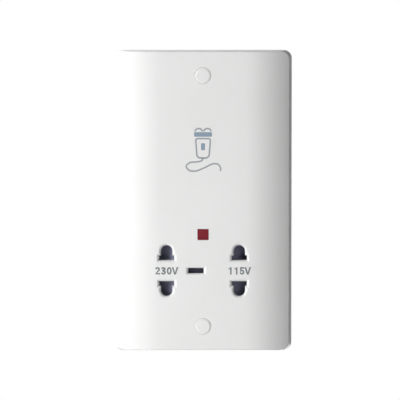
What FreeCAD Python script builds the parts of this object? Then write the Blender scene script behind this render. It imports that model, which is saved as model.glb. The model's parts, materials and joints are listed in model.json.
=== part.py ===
import FreeCAD, Part
import math
import os

# Dual-voltage shaver supply unit for a two-gang wall box.
# Millimetres. +Z is up, the face looks along -Y, and the wall is the plane y = 0.
V = FreeCAD.Vector

# Faceplate
PLATE_W = 86.0             # two-gang plate, across
PLATE_H = 146.0            # two-gang plate, upright
PLATE_DEPTH = 10.0         # wall to the flat of the face
SIDE_DEPTH = 4.0           # wall to the face at the left and right edges
FLAT_W = 42.0              # flat strip down the middle of the face
PLATE_WALL = 2.4
CORNER_R = 4.0
SIDE_DRAFT_DEG = 16.0      # lean of the plate's left and right edges
END_DRAFT_DEG = 7.0        # lean of its top and bottom edges
EDGE_R = 0.6               # rounding between edge and face

# Wall fixings
FIXING_CENTRES = 120.6     # standard two-gang centres
FIXING_R = 1.75            # M3.5 thread
FIXING_NECK_R = 1.45       # reduced neck that keeps the screw captive
FIXING_HOLE_R = 1.9
FIXING_HEAD_R = 3.2
FIXING_HEAD_H = 2.2
FIXING_LENGTH = 25.0       # under the head
FIXING_SEAT_T = 2.3        # plate left under the screw head
BOSS_WALL = 1.5            # round the screw recess
BOSS_SHY = 1.2             # bosses stop this far short of the wall
THREAD_RUNOUT = 0.8        # neck left behind the boss
CAP_R = 3.85
CAP_GAP = 0.1              # round the cap in its recess
CAP_PROUD = 0.28
CAP_TOP = 1.6
CAP_SKIRT = 0.9
CAP_REST = 0.15            # cap to screw head
CAP_BEVEL = 0.8

# Outlets: each has an upper and a lower pin aperture
OUTLET_X = 17.5            # each outlet from the centre line
OUTLET_Z = -33.5           # outlets below the plate's centre
PIN_R = 2.75               # round end of an aperture
PIN_FAR = 9.5              # centre of the round end from the outlet's centre
BAND_HALF = 3.6            # half width of the blade slot
BAND_IN = 5.1              # blade slot, nearest to the outlet's centre
BAND_OUT = 7.3             # blade slot, farthest from it
EARTH_X = -3.4             # earth blade slot
EARTH_HALF_W = 3.7
EARTH_HALF_H = 1.25
LIP = 1.3                  # rounded lip round the apertures
EARTH_LIP_Z = 0.8          # lip above and below the earth slot
LIP_DEPTH = 1.5
LIP_PULL = 0.1             # share by which the lip's curve stays clear of its corner

# Neon window and lamp
LENS_W = 5.35
LENS_H = 5.3
LENS_Z = -16.0
LENS_FIT = 0.05
LENS_CORNER_R = 0.35
LENS_EDGE_R = 0.2
LENS_LIP = 1.2             # lip behind the plate, each side
LENS_LIP_T = 1.0
LAMP_R = 2.0
LAMP_LEFT = -4.0
LAMP_RIGHT = 6.5
LAMP_AIR = 0.8             # lens to lamp
LAMP_SEAT = 0.1
LAMP_WIRE_R = 0.25
LAMP_WIRE_OFF = 0.8        # lamp wires above and below its axis
LAMP_WIRE_BEND = 1.0
SHELF_T = 1.5
CRADLE_T = 1.0
CRADLE_X = (-2.0, 4.0)
RESISTOR_R = 1.15
RESISTOR_LEN = 6.5
RESISTOR_TAIL = 1.2
RESISTOR_END_R = 0.6

# Interlock shutter
RUN_GAP = 0.3              # running clearance of the slider
GUIDE_RIB = 0.6            # ribs behind the plate that hold the slider down
TRAVEL = 8.0               # slide each way
RAMP_DEPTH = 7.0
LIP_T = 1.3
LIP_W = 1.0
APERTURE_LAP = 0.3         # ramp starts this far inside the aperture
SHUTTER_LAP = 0.5          # slider past the outer side of an aperture
SHUTTER_LAP_Z = 0.95       # slider past the round ends of the apertures
GUIDE_GAP = 0.25
GUIDE_WALL = 1.2
NOTCH_X = -12.0            # dwell notch that the switch leaf drops into
NOTCH_TOP_HALF = 2.6
NOTCH_FLOOR_HALF = 1.3
NOTCH_DEPTH = 1.0
CAM_RAIL_H = 0.9           # rib over the ramps that holds the leaf up at either end of the slide
SPRING_DZ = 8.0            # springs above the outlets' centre line
SPRING_R = 1.8             # outside
SPRING_WIRE_R = 0.2
SPRING_COILS = 5
SPRING_ROOM = 10.5         # between the post and each end of the groove
SPRING_SEAT = 0.05
POST_HALF_W = 1.5
GROOVE_HALF_H = 2.6
GROOVE_FRONT_WALL = 2.3    # slider left in front of the groove
POST_GAP = 0.4

# Contact carrier and contacts
CARRIER_T = 11.2
CARRIER_SIDE_GAP = 1.0     # to the housing
POCKET_HALF_W = 4.2
POCKET_IN = 4.5
POCKET_OUT = 13.0
POCKET_FLOOR = 1.5
GUIDE_SET_BACK = 1.2       # outer ends of the guide walls, behind the ribs
CONTACT_T = 0.5
CONTACT_MOUTH_HALF = 3.3
CONTACT_WAIST_HALF = 1.9
CONTACT_BASE_HALF = 2.6
CONTACT_SHY = 0.9          # below the carrier's floor
CONTACT_WAIST_DEPTH = 3.3
CONTACT_SIDE_GAP = 0.5
TAIL_HALF_H = 1.6
TAIL_LEN = 3.5             # behind the carrier
TAIL_FIT = 0.1

# Plug-operated switch
LEAF_T = 0.4
LEAF_W = 3.9
LEAF_POST_X = (-8.5, -5.5)
LEAF_POST_H = 2.0
LEAF_TAG_X = -5.3
LEAF_TAG_H = 4.5
LEAF_END_X = -17.2
NOSE_TIP_HALF = 0.4
NOSE_ROOT_HALF = 1.4
NOSE_INTO_NOTCH = 0.4
NOSE_WINDOW_HALF = 2.2
TIP_X = -16.0              # silver tips
TIP_R = 1.0
TIP_H = 0.5
TIP_GAP = 0.4
FIXED_POST_X = (-24.5, -20.5)
FIXED_END_X = -14.8
FIXED_TAG_W = 2.6
FIXED_TAG_LEN = 6.5
SWITCH_FRONT_Y = -5.4
STAKE_R = 0.7
STAKE_HEAD_R = 1.2
STAKE_HEAD_H = 0.5
STAKE_FIT = 0.05

# Transformer
CORE_W = 57.2
CORE_H = 47.7
STACK = 20.0
TONGUE_W = 19.0
WINDOW_W = 9.5
WINDOW_H = 28.6
CORE_HOLE_R = 1.75
CORE_HOLE_IN = 4.8         # holes from the core's edges
CORE_TOP_GAP = 1.3
CORE_SIDE_GAP = 1.6
BOBBIN_FIT = 0.3
BOBBIN_T = 1.2
BOBBIN_REACH = 9.0         # flanges in front of and behind the core
BOBBIN_REAR_GAP = 0.5
WINDING_SHY = 0.8          # windings inside the flanges
WINDING_FIT = 0.1
WINDING_CORNER_R = 3.5
CUTOUT_W = 8.0
CUTOUT_T = 3.2
CUTOUT_SHY = 1.0
CUTOUT_EDGE_R = 0.6
CUTOUT_X = -5.3
CORE_SCREW_R = 1.5
CORE_SCREW_HEAD_R = 2.8
CORE_SCREW_HEAD_H = 2.0
CORE_SCREW_BITE = 7.5
CORE_PILLAR_R = 3.2
PILOT_FIT = 0.05           # screw to its moulded hole
PILOT_SPARE = 0.6          # hole past the screw's tip

# Rear housing
HOUSING_DEPTH = 38.0       # behind the wall
HOUSING_WALL = 1.8
HOUSING_REAR_T = 2.0
HOUSING_CORNER_R = 3.0
HOUSING_END_GAP = 1.85     # to the fixing bosses
REAR_EDGE_R = 1.0
EAR_SET = 4.2              # ears' front face before the wall
EAR_T = 2.0
EAR_R = 4.0
EAR_X = 20.0
EAR_OUT = 3.3              # ear screws past the housing's ends
EAR_BOSS_R = 3.0
EAR_SCREW_R = 1.25
EAR_SCREW_HEAD_R = 2.5
EAR_SCREW_HEAD_H = 1.5
EAR_SCREW_LEN = 6.3
EAR_HOLE_R = 1.5
CLAMP_PILLAR_R = 2.2
CLAMP_PILLAR_IN = 3.5      # from the carrier's sides
CLAMP_PILLAR_DZ = 11.0
STEP_Z = -36.0             # housing is shallower below this
STEP_DEPTH = 24.0
VENT_COUNT = 7
VENT_PITCH = 5.0
VENT_W = 2.0
VENT_H = 20.0
VENT_END_SHARE = 0.49      # round end of a vent, as a share of its width
PANEL_W = 42.0             # bare sunk panel between the vents and the terminals
PANEL_H = 22.0
PANEL_R = 2.0
PANEL_DEPTH = 0.5
SIDE_RIB_COUNT = 6         # upright row of ribs on each side
SIDE_RIB_PITCH = 8.0
SIDE_RIB_T = 1.2
SIDE_RIB_PROUD = 0.5
SIDE_RIB_SHY = 4.0         # ribs stop this far before the rear face
DRIVE_SLOT_W = 0.8         # screwdriver slots
DRIVE_SLOT_DEPTH = 0.8

# Supply terminals
TERMINAL_PITCH = 18.0
TERMINAL_W = 9.0
TERMINAL_H = 10.0
TERMINAL_D = 10.0
TERMINAL_BORE_R = 2.0
TERMINAL_ENTRY_R = 2.6
TERMINAL_SCREW_R = 1.7
TERMINAL_SCREW_CLEAR = 0.2
TERMINAL_SCREW_SHY = 1.0
TERMINAL_ACCESS_R = 2.6
TERMINAL_DISH_R = 4.2      # sunk ring round the access hole
NEST_FIT = 0.15
NEST_WALL = 1.2
NEST_SHY = 0.5

# Leads
LEAD_R = 0.7
LEAD_BEND = 2.2
BEND_SHARE = 0.48          # most of a run that one bend may take up
LEAD_CLEAR = 0.5
LEAD_JOG = 1.5             # straight stretch before a lead is drawn forward
STRAIGHT_DEG = 0.05        # a smaller turn is left out
COLUMN_TAP_230 = -13.0
COLUMN_COMMON = -10.2
COLUMN_NEUTRAL = 2.0
COLUMN_NEON = 8.6
COLUMN_NEON_RETURN = 11.2
COLUMN_TAP_115 = 13.6
TAP_DROP = 7.0             # crossing level of the tap leads below the core
NEUTRAL_DROP = 3.4
EARTH_LEAD_Y = 23.0
TAIL_TURN = 2.8            # leads turn this far behind the contact tails

# Levels along Y
FACE_Y = -PLATE_DEPTH
INNER_Y = FACE_Y + PLATE_WALL
BOSS_REAR_Y = -BOSS_SHY
SEAT_Y = BOSS_REAR_Y - FIXING_SEAT_T
RIB_Y = INNER_Y + GUIDE_RIB
SHUTTER_FRONT_Y = RIB_Y + RUN_GAP
LIP_FRONT_Y = SHUTTER_FRONT_Y + RAMP_DEPTH
SHUTTER_BACK_Y = LIP_FRONT_Y + LIP_T
FLOOR_Y = SHUTTER_BACK_Y + RUN_GAP
CARRIER_BACK_Y = FLOOR_Y + CARRIER_T
TAIL_END_Y = CARRIER_BACK_Y + TAIL_LEN
LAMP_Y = INNER_Y + LENS_LIP_T + LAMP_AIR + LAMP_R
SHELF_Y = LAMP_Y + LAMP_R + LAMP_SEAT
EAR_FRONT_Y = -EAR_SET
EAR_BACK_Y = EAR_FRONT_Y + EAR_T
HOUSING_IN_Y = HOUSING_DEPTH - HOUSING_REAR_T
STEP_IN_Y = STEP_DEPTH - HOUSING_REAR_T
BOBBIN_HALF_Y = STACK / 2 + BOBBIN_REACH
CORE_Y = HOUSING_IN_Y - BOBBIN_REAR_GAP - BOBBIN_HALF_Y
CORE_FRONT_Y = CORE_Y - STACK / 2
CORE_BACK_Y = CORE_Y + STACK / 2
FLANGE_FRONT_Y = CORE_Y - BOBBIN_HALF_Y
WINDING_FRONT_Y = FLANGE_FRONT_Y + WINDING_SHY
LEAD_Y = FLANGE_FRONT_Y - LEAD_CLEAR - LEAD_R
SWITCH_BACK_Y = SWITCH_FRONT_Y + LEAF_W
SWITCH_Y = SWITCH_FRONT_Y + LEAF_W / 2
TERMINAL_Y = HOUSING_IN_Y - TERMINAL_D / 2

# Levels along Z
RECESS_R = CAP_R + CAP_GAP
BOSS_R = RECESS_R + BOSS_WALL
FIXING_Z = FIXING_CENTRES / 2
HOUSING_HALF_H = FIXING_Z - BOSS_R - HOUSING_END_GAP
HOUSING_IN_HALF_H = HOUSING_HALF_H - HOUSING_WALL
EAR_Z = HOUSING_HALF_H + EAR_OUT
SHUTTER_HALF_H = PIN_FAR + PIN_R + SHUTTER_LAP_Z
SHUTTER_TOP_Z = OUTLET_Z + SHUTTER_HALF_H
GUIDE_IN = SHUTTER_HALF_H + GUIDE_GAP
GUIDE_OUT = GUIDE_IN + GUIDE_WALL
GUIDE_TOP_Z = OUTLET_Z + GUIDE_OUT
LEAF_Z = GUIDE_TOP_Z + LEAF_POST_H + LEAF_T / 2
FIXED_POST_H = LEAF_POST_H + LEAF_T + TIP_H + TIP_GAP + TIP_H
FIXED_Z = GUIDE_TOP_Z + FIXED_POST_H + LEAF_T / 2
LEAF_TAG_TOP_Z = LEAF_Z + LEAF_TAG_H
CORE_TOP_Z = HOUSING_IN_HALF_H - CORE_TOP_GAP
CORE_Z = CORE_TOP_Z - CORE_H / 2
CORE_BOTTOM_Z = CORE_Z - CORE_H / 2
BOBBIN_HALF_H = WINDOW_H / 2 - BOBBIN_FIT
SECTION_IN = BOBBIN_T / 2 + WINDING_FIT
SECTION_OUT = BOBBIN_HALF_H - BOBBIN_T - WINDING_FIT
PRIMARY_Z = CORE_Z + (SECTION_IN + SECTION_OUT) / 2
SECONDARY_Z = CORE_Z - (SECTION_IN + SECTION_OUT) / 2
CUTOUT_BOTTOM_Z = CORE_Z + SECTION_IN + CUTOUT_SHY
CUTOUT_TOP_Z = CORE_Z + SECTION_OUT - CUTOUT_SHY
TERMINAL_BOTTOM_Z = STEP_Z + HOUSING_WALL
TERMINAL_TOP_Z = TERMINAL_BOTTOM_Z + TERMINAL_H
TAP_Z = CORE_BOTTOM_Z - TAP_DROP
NEUTRAL_Z = CORE_BOTTOM_Z - NEUTRAL_DROP

# Levels along X
HOUSING_IN_HALF_W = CORE_W / 2 + CORE_SIDE_GAP
HOUSING_HALF_W = HOUSING_IN_HALF_W + HOUSING_WALL
CARRIER_HALF_W = HOUSING_IN_HALF_W - CARRIER_SIDE_GAP
RAMP_TOP_X = OUTLET_X - BAND_HALF - APERTURE_LAP
SHUTTER_HALF_W = OUTLET_X + BAND_HALF + SHUTTER_LAP
GROOVE_HALF_W = POST_HALF_W + SPRING_ROOM
BOBBIN_HALF_W = TONGUE_W / 2 + WINDOW_W - BOBBIN_FIT

# Y overrun of a cutting solid past the face it opens
OVER = 1.0


def box(x0, x1, y0, y1, z0, z1):
    return Part.makeBox(x1 - x0, y1 - y0, z1 - z0, V(x0, y0, z0))


def cyl_x(x0, x1, y, z, r):
    return Part.makeCylinder(r, x1 - x0, V(x0, y, z), V(1, 0, 0))


def cyl_y(x, z, r, y0, y1):
    return Part.makeCylinder(r, y1 - y0, V(x, y0, z), V(0, 1, 0))


def cyl_z(x, y, r, z0, z1):
    return Part.makeCylinder(r, z1 - z0, V(x, y, z0), V(0, 0, 1))


def polygon(points):
    return Part.makePolygon(points + points[:1])


def line(a, b):
    return Part.LineSegment(a, b).toShape()


def rounded_rect(half_w, half_h, r, y, cx=0.0, cz=0.0):
    """A rectangle with round corners in the plane y, as a wire."""
    edges = []
    corners = [(1, 1, 0), (-1, 1, 90), (-1, -1, 180), (1, -1, 270)]
    last = None
    first = None
    for sx, sz, start in corners:
        centre = V(cx + sx * (half_w - r), y, cz + sz * (half_h - r))
        ends = []
        for angle in (start, start + 45, start + 90):
            a = math.radians(angle)
            ends.append(centre + V(r * math.cos(a), 0, r * math.sin(a)))
        if last is not None:
            edges.append(line(last, ends[0]))
        edges.append(Part.Arc(*ends).toShape())
        last = ends[2]
        if first is None:
            first = ends[0]
    edges.append(line(last, first))
    return Part.Wire(edges)


def rounded_block(half_w, half_h, r, y0, y1, cx=0.0, cz=0.0):
    face = Part.Face(rounded_rect(half_w, half_h, r, y0, cx, cz))
    return face.extrude(V(0, y1 - y0, 0))


def lip(half, grow, at):
    """Edges of a lip that rounds off from an opening's wall to the face, and on past it."""
    curve = Part.BezierCurve()
    pull = at(half + grow * LIP_PULL, FACE_Y + LIP_DEPTH * LIP_PULL)
    curve.setPoles([at(half, FACE_Y + LIP_DEPTH), pull, at(half + grow, FACE_Y)])
    return [curve.toShape(), line(at(half + grow, FACE_Y), at(half + grow, FACE_Y - OVER))]


def lipped_bar(half, grow, at, run):
    """A bar whose section is an opening with a rounded lip on either side."""
    floor = line(at(-half, FACE_Y + LIP_DEPTH), at(half, FACE_Y + LIP_DEPTH))
    top = line(at(half + grow, FACE_Y - OVER), at(-half - grow, FACE_Y - OVER))
    left = lip(half, grow, lambda across, y: at(-across, y))
    return Part.Face(Part.Wire([floor] + lip(half, grow, at) + [top] + left[::-1])).extrude(run)


def lipped_slot(half_w, half_h, grow_w, grow_h, cx, cz):
    """An opening with rounded lips, all round or, with no grow_h, on its left and right alone."""
    reach_w = half_w + grow_w
    reach_h = half_h + grow_h
    wide = lipped_bar(half_w, grow_w, lambda across, y: V(cx + across, y, cz - reach_h), V(0, 0, 2 * reach_h))
    if not grow_h:
        return wide
    tall = lipped_bar(half_h, grow_h, lambda across, y: V(cx - reach_w, y, cz + across), V(2 * reach_w, 0, 0))
    return wide.common(tall)


def lipped_hole(r, grow, cx, cz):
    """A round opening with a rounded lip."""
    rim = lip(r, grow, lambda across, y: V(cx + across, y, cz))
    middle = [V(cx, FACE_Y - OVER, cz), V(cx, FACE_Y + LIP_DEPTH, cz)]
    top = line(V(cx + r + grow, FACE_Y - OVER, cz), middle[0])
    floor = line(middle[1], V(cx + r, FACE_Y + LIP_DEPTH, cz))
    return Part.Face(Part.Wire([floor] + rim + [top, line(*middle)])).revolve(middle[0], V(0, 1, 0), 360)


def thick_line(points, thickness):
    """Outline of a bent strip: (u, v) points of its middle line, mitred at the bends."""
    count = len(points)
    left = []
    right = []
    for i, (u, v) in enumerate(points):
        before = points[max(i - 1, 0)]
        after = points[min(i + 1, count - 1)]
        here = (u, v)
        normals = []
        for a, b in ((before, here), (here, after)):
            length = math.hypot(b[0] - a[0], b[1] - a[1])
            if length > 0:
                normals.append((-(b[1] - a[1]) / length, (b[0] - a[0]) / length))
        nu = sum(n[0] for n in normals) / len(normals)
        nv = sum(n[1] for n in normals) / len(normals)
        scale = thickness / 2 / (nu * nu + nv * nv)
        left.append((u + nu * scale, v + nv * scale))
        right.append((u - nu * scale, v - nv * scale))
    return left + right[::-1]


def strip_xy(points, thickness, z0, z1):
    outline = [V(u, v, z0) for u, v in thick_line(points, thickness)]
    return Part.Face(polygon(outline)).extrude(V(0, 0, z1 - z0))


def strip_xz(points, thickness, y0, y1):
    outline = [V(u, y0, v) for u, v in thick_line(points, thickness)]
    return Part.Face(polygon(outline)).extrude(V(0, y1 - y0, 0))


def tube(points, r, bend=LEAD_BEND):
    """A round wire along straight runs joined by tangent arcs."""
    points = [V(*p) for p in points]
    edges = []
    start = points[0]
    for i in range(1, len(points) - 1):
        to_last = (points[i - 1] - points[i]).normalize()
        to_next = (points[i + 1] - points[i]).normalize()
        half_open = to_last.getAngle(to_next) / 2
        if 180 - 2 * math.degrees(half_open) < STRAIGHT_DEG:
            continue
        shorter = min(points[i].distanceToPoint(points[i - 1]), points[i].distanceToPoint(points[i + 1]))
        reach = min(bend / math.tan(half_open), BEND_SHARE * shorter)
        radius = reach * math.tan(half_open)
        inward = (to_last + to_next).normalize()
        middle = points[i] + inward * (radius / math.sin(half_open) - radius)
        arc_start = points[i] + to_last * reach
        arc_end = points[i] + to_next * reach
        edges.append(line(start, arc_start))
        edges.append(Part.Arc(arc_start, middle, arc_end).toShape())
        start = arc_end
    edges.append(line(start, points[-1]))
    section = Part.Wire([Part.makeCircle(r, points[0], points[1] - points[0])])
    return Part.Wire(edges).makePipeShell([section], True, False)


def fuse(shapes):
    return shapes[0].multiFuse(shapes[1:]).removeSplitter()


def cut(shape, tools):
    return shape.cut(Part.makeCompound(tools)).removeSplitter()


def save(name, shape):
    solids = shape.Solids
    result = solids[0] if len(solids) == 1 else Part.makeCompound(solids)
    result.exportStep(os.path.join("parts", name + ".step"))


# Faceplate
def plate_form(inset):
    """The plate's outer form, or its hollow when drawn in by a wall thickness."""
    flat = FLAT_W / 2
    half_w = PLATE_W / 2
    drop = PLATE_DEPTH - SIDE_DEPTH
    arc_r = ((half_w - flat) ** 2 + drop ** 2) / (2 * drop)
    r = arc_r - inset
    reach = half_w - flat
    side_y = FACE_Y + arc_r - math.sqrt(r ** 2 - reach ** 2)
    mid = reach / 2
    mid_y = FACE_Y + arc_r - math.sqrt(r ** 2 - mid ** 2)
    top_y = FACE_Y + inset
    rear_y = OVER if inset else 0.0
    edges = [
        line(V(-half_w, rear_y, 0), V(-half_w, side_y, 0)),
        Part.Arc(V(-half_w, side_y, 0), V(-flat - mid, mid_y, 0), V(-flat, top_y, 0)).toShape(),
        line(V(-flat, top_y, 0), V(flat, top_y, 0)),
        Part.Arc(V(flat, top_y, 0), V(flat + mid, mid_y, 0), V(half_w, side_y, 0)).toShape(),
        line(V(half_w, side_y, 0), V(half_w, rear_y, 0)),
        line(V(half_w, rear_y, 0), V(-half_w, rear_y, 0)),
    ]
    profile = Part.Face(Part.Wire(edges))
    profile.translate(V(0, 0, -PLATE_H / 2 - OVER))
    bar = profile.extrude(V(0, 0, PLATE_H + 2 * OVER))
    side_lean = math.tan(math.radians(SIDE_DRAFT_DEG))
    end_lean = math.tan(math.radians(END_DRAFT_DEG))
    wires = []
    for y in (rear_y, FACE_Y - OVER):
        across = half_w - inset + y * side_lean
        up = PLATE_H / 2 - inset + y * end_lean
        wires.append(rounded_rect(across, up, CORNER_R - inset / 2, y))
    return bar.common(Part.makeLoft(wires, True, True))


def front_edges(form):
    """Edges between the plate's face and its sides, all the way round."""
    found = []
    for edge in form.Edges:
        points = edge.discretize(5)
        behind_side = min(p.y for p in points) > -SIDE_DEPTH / 2
        middle = points[2]
        on_end = abs(middle.z) > PLATE_H / 2 - CORNER_R
        on_side = abs(middle.x) > PLATE_W / 2 - CORNER_R
        runs_through = max(p.y for p in points) > -OVER
        if (on_end or on_side) and not behind_side and not runs_through:
            found.append(edge)
    return found


def aperture_tools(cx, side):
    """Straight hole and rounded lip of one pin aperture, above (1) or below (-1) its outlet."""
    back = INNER_Y + OVER
    band_z = OUTLET_Z + side * (BAND_IN + BAND_OUT) / 2
    band_half = (BAND_OUT - BAND_IN) / 2
    neck_z = OUTLET_Z + side * (BAND_OUT + PIN_FAR) / 2
    neck_half = (PIN_FAR - BAND_OUT) / 2
    pin_z = OUTLET_Z + side * PIN_FAR
    return [
        box(cx - BAND_HALF, cx + BAND_HALF, FACE_Y, back, band_z - band_half, band_z + band_half),
        box(cx - PIN_R, cx + PIN_R, FACE_Y, back, neck_z - neck_half, neck_z + neck_half),
        cyl_y(cx, pin_z, PIN_R, FACE_Y, back),
        lipped_slot(BAND_HALF, band_half, LIP, LIP, cx, band_z),
        lipped_slot(PIN_R, neck_half, LIP, 0.0, cx, neck_z),
        lipped_hole(PIN_R, LIP, cx, pin_z),
    ]


def front_plate():
    form = plate_form(0.0)
    form = form.makeFillet(EDGE_R, front_edges(form))
    shell = form.cut(plate_form(PLATE_WALL))
    added = []
    removed = []
    for side in (1, -1):
        z = side * FIXING_Z
        added.append(cyl_y(0, z, BOSS_R, INNER_Y - PLATE_WALL / 2, BOSS_REAR_Y))
        removed.append(cyl_y(0, z, RECESS_R, FACE_Y - OVER, SEAT_Y))
        removed.append(cyl_y(0, z, FIXING_HOLE_R, SEAT_Y - OVER, BOSS_REAR_Y + OVER))
        rib_in = PIN_FAR + PIN_R + APERTURE_LAP
        rib_z = sorted((OUTLET_Z + side * rib_in, OUTLET_Z + side * GUIDE_OUT))
        added.append(box(-FLAT_W / 2, FLAT_W / 2, INNER_Y - PLATE_WALL / 2, RIB_Y, *rib_z))
        for ear_side in (1, -1):
            x = ear_side * EAR_X
            ear_z = side * EAR_Z
            hole_end = EAR_BACK_Y - EAR_SCREW_LEN - PILOT_FIT
            added.append(cyl_y(x, ear_z, EAR_BOSS_R, INNER_Y - PLATE_WALL / 2, EAR_FRONT_Y))
            removed.append(cyl_y(x, ear_z, EAR_SCREW_R + PILOT_FIT, hole_end, EAR_FRONT_Y + OVER))
        for cx in (-OUTLET_X, OUTLET_X):
            removed += aperture_tools(cx, side)
    earth_z = (OUTLET_Z - EARTH_HALF_H, OUTLET_Z + EARTH_HALF_H)
    removed.append(box(EARTH_X - EARTH_HALF_W, EARTH_X + EARTH_HALF_W, FACE_Y, INNER_Y + OVER, *earth_z))
    removed.append(lipped_slot(EARTH_HALF_W, EARTH_HALF_H, LIP, EARTH_LIP_Z, EARTH_X, OUTLET_Z))
    window = (LENS_W / 2 + LENS_FIT, LENS_H / 2 + LENS_FIT, LENS_CORNER_R + LENS_FIT)
    removed.append(rounded_block(*window, FACE_Y - OVER, INNER_Y + OVER, 0.0, LENS_Z))
    plate = fuse([shell] + added)
    for tool in removed:
        plate = plate.cut(tool)
    return plate.removeSplitter()


def screw_cap(side):
    z = side * FIXING_Z
    disc_back = FACE_Y - CAP_PROUD + CAP_TOP
    head_y = SEAT_Y - FIXING_HEAD_H
    crown = Part.makeCone(CAP_R, CAP_R - CAP_BEVEL, CAP_PROUD, V(0, FACE_Y, z), V(0, -1, 0))
    skirt = cyl_y(0, z, CAP_R, FACE_Y, head_y - CAP_REST)
    return fuse([crown, skirt]).cut(cyl_y(0, z, CAP_R - CAP_SKIRT, disc_back, 0))


def slotted_head(x, z, r, y0, y1, slot_at_front):
    """A round screw head along Y with a driver slot in its outer face."""
    head = cyl_y(x, z, r, y0, y1)
    slot_y = (y0 - OVER, y0 + DRIVE_SLOT_DEPTH) if slot_at_front else (y1 - DRIVE_SLOT_DEPTH, y1 + OVER)
    return head.cut(box(x - r - OVER, x + r + OVER, *slot_y, z - DRIVE_SLOT_W / 2, z + DRIVE_SLOT_W / 2))


def fixing_screw(side):
    z = side * FIXING_Z
    thread_y = BOSS_REAR_Y + THREAD_RUNOUT
    tip_y = SEAT_Y + FIXING_LENGTH
    head = slotted_head(0, z, FIXING_HEAD_R, SEAT_Y - FIXING_HEAD_H, SEAT_Y, True)
    neck = cyl_y(0, z, FIXING_NECK_R, SEAT_Y, thread_y)
    thread = cyl_y(0, z, FIXING_R, thread_y, tip_y)
    return fuse([head, neck, thread])


def neon_lens():
    body = rounded_block(LENS_W / 2, LENS_H / 2, LENS_CORNER_R, FACE_Y, INNER_Y, 0.0, LENS_Z)
    body = body.makeFillet(LENS_EDGE_R, [e for e in body.Edges if e.BoundBox.YMax < FACE_Y + LENS_EDGE_R])
    lip_half = LENS_W / 2 + LENS_LIP
    lip = box(-lip_half, lip_half, INNER_Y, INNER_Y + LENS_LIP_T, LENS_Z - LENS_H / 2, LENS_Z + LENS_H / 2)
    return fuse([body, lip])


# Interlock shutter and its springs
def interlock_shutter():
    """The slider. Its slot meets the plate's earth slot only when a plug on the left has moved it."""
    ramp_end = SHUTTER_HALF_W - LIP_W
    outline = [
        (-RAMP_TOP_X, SHUTTER_FRONT_Y),
        (RAMP_TOP_X, SHUTTER_FRONT_Y),
        (ramp_end, LIP_FRONT_Y),
        (SHUTTER_HALF_W, LIP_FRONT_Y),
        (SHUTTER_HALF_W, SHUTTER_BACK_Y),
        (-SHUTTER_HALF_W, SHUTTER_BACK_Y),
        (-SHUTTER_HALF_W, LIP_FRONT_Y),
        (-ramp_end, LIP_FRONT_Y),
    ]
    bottom = OUTLET_Z - SHUTTER_HALF_H
    face = Part.Face(polygon([V(x, y, bottom) for x, y in outline]))
    slider = face.extrude(V(0, 0, 2 * SHUTTER_HALF_H))
    rail_z = (SHUTTER_TOP_Z - CAM_RAIL_H, SHUTTER_TOP_Z)
    rail = box(-SHUTTER_HALF_W, SHUTTER_HALF_W, SWITCH_FRONT_Y - RUN_GAP, SHUTTER_BACK_Y, *rail_z)
    slider = fuse([slider, rail])
    slot_half_w = EARTH_HALF_W + RUN_GAP
    slot_half_h = EARTH_HALF_H + RUN_GAP
    slot_x = EARTH_X - TRAVEL
    slot_y = (SHUTTER_FRONT_Y - OVER, SHUTTER_BACK_Y + OVER)
    slot_z = (OUTLET_Z - slot_half_h, OUTLET_Z + slot_half_h)
    earth_slot = box(slot_x - slot_half_w, slot_x + slot_half_w, *slot_y, *slot_z)
    groove_z = OUTLET_Z + SPRING_DZ
    groove_y = (SHUTTER_FRONT_Y + GROOVE_FRONT_WALL, SHUTTER_BACK_Y + OVER)
    groove_span = (groove_z - GROOVE_HALF_H, groove_z + GROOVE_HALF_H)
    groove = box(-GROOVE_HALF_W, GROOVE_HALF_W, *groove_y, *groove_span)
    floor_z = SHUTTER_TOP_Z - NOTCH_DEPTH
    notch = [
        (NOTCH_X - NOTCH_TOP_HALF, SHUTTER_TOP_Z),
        (NOTCH_X - NOTCH_FLOOR_HALF, floor_z),
        (NOTCH_X + NOTCH_FLOOR_HALF, floor_z),
        (NOTCH_X + NOTCH_TOP_HALF, SHUTTER_TOP_Z),
    ]
    notch_face = Part.Face(polygon([V(x, slot_y[0], z) for x, z in notch]))
    return cut(slider, [earth_slot, groove, notch_face.extrude(V(0, slot_y[1] - slot_y[0], 0))])


def spring_y():
    return SHUTTER_BACK_Y - SPRING_R - RUN_GAP


def shutter_spring(side):
    """A coil spring between the carrier's post and one end of the slider's groove."""
    coil_r = SPRING_R - SPRING_WIRE_R
    height = SPRING_ROOM - 2 * (SPRING_WIRE_R + SPRING_SEAT)
    pitch = height / SPRING_COILS
    circle = Part.makeCircle(SPRING_WIRE_R, V(coil_r, 0, 0), V(0, 1, 0))
    turn = Part.Wire(Part.makeHelix(pitch, pitch, coil_r)).makePipeShell([Part.Wire([circle])], True, True)
    turns = [turn.translated(V(0, 0, i * pitch)) for i in range(SPRING_COILS)]
    coil = turns[0].multiFuse(turns[1:])
    coil.rotate(V(0, 0, 0), V(0, 1, 0), side * 90)
    start = POST_HALF_W + SPRING_SEAT + SPRING_WIRE_R
    coil.translate(V(side * start, spring_y(), OUTLET_Z + SPRING_DZ))
    return coil


# Contact carrier with its posts, cradle and guide walls
def heat_stake(x, top_z, strip_top_z):
    pin = cyl_z(x, SWITCH_Y, STAKE_R, top_z - OVER, strip_top_z + STAKE_FIT)
    return [pin, cyl_z(x, SWITCH_Y, STAKE_HEAD_R, strip_top_z + STAKE_FIT, strip_top_z + STAKE_HEAD_H)]


def stake_x(post):
    return (post[0] + post[1]) / 2


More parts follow.
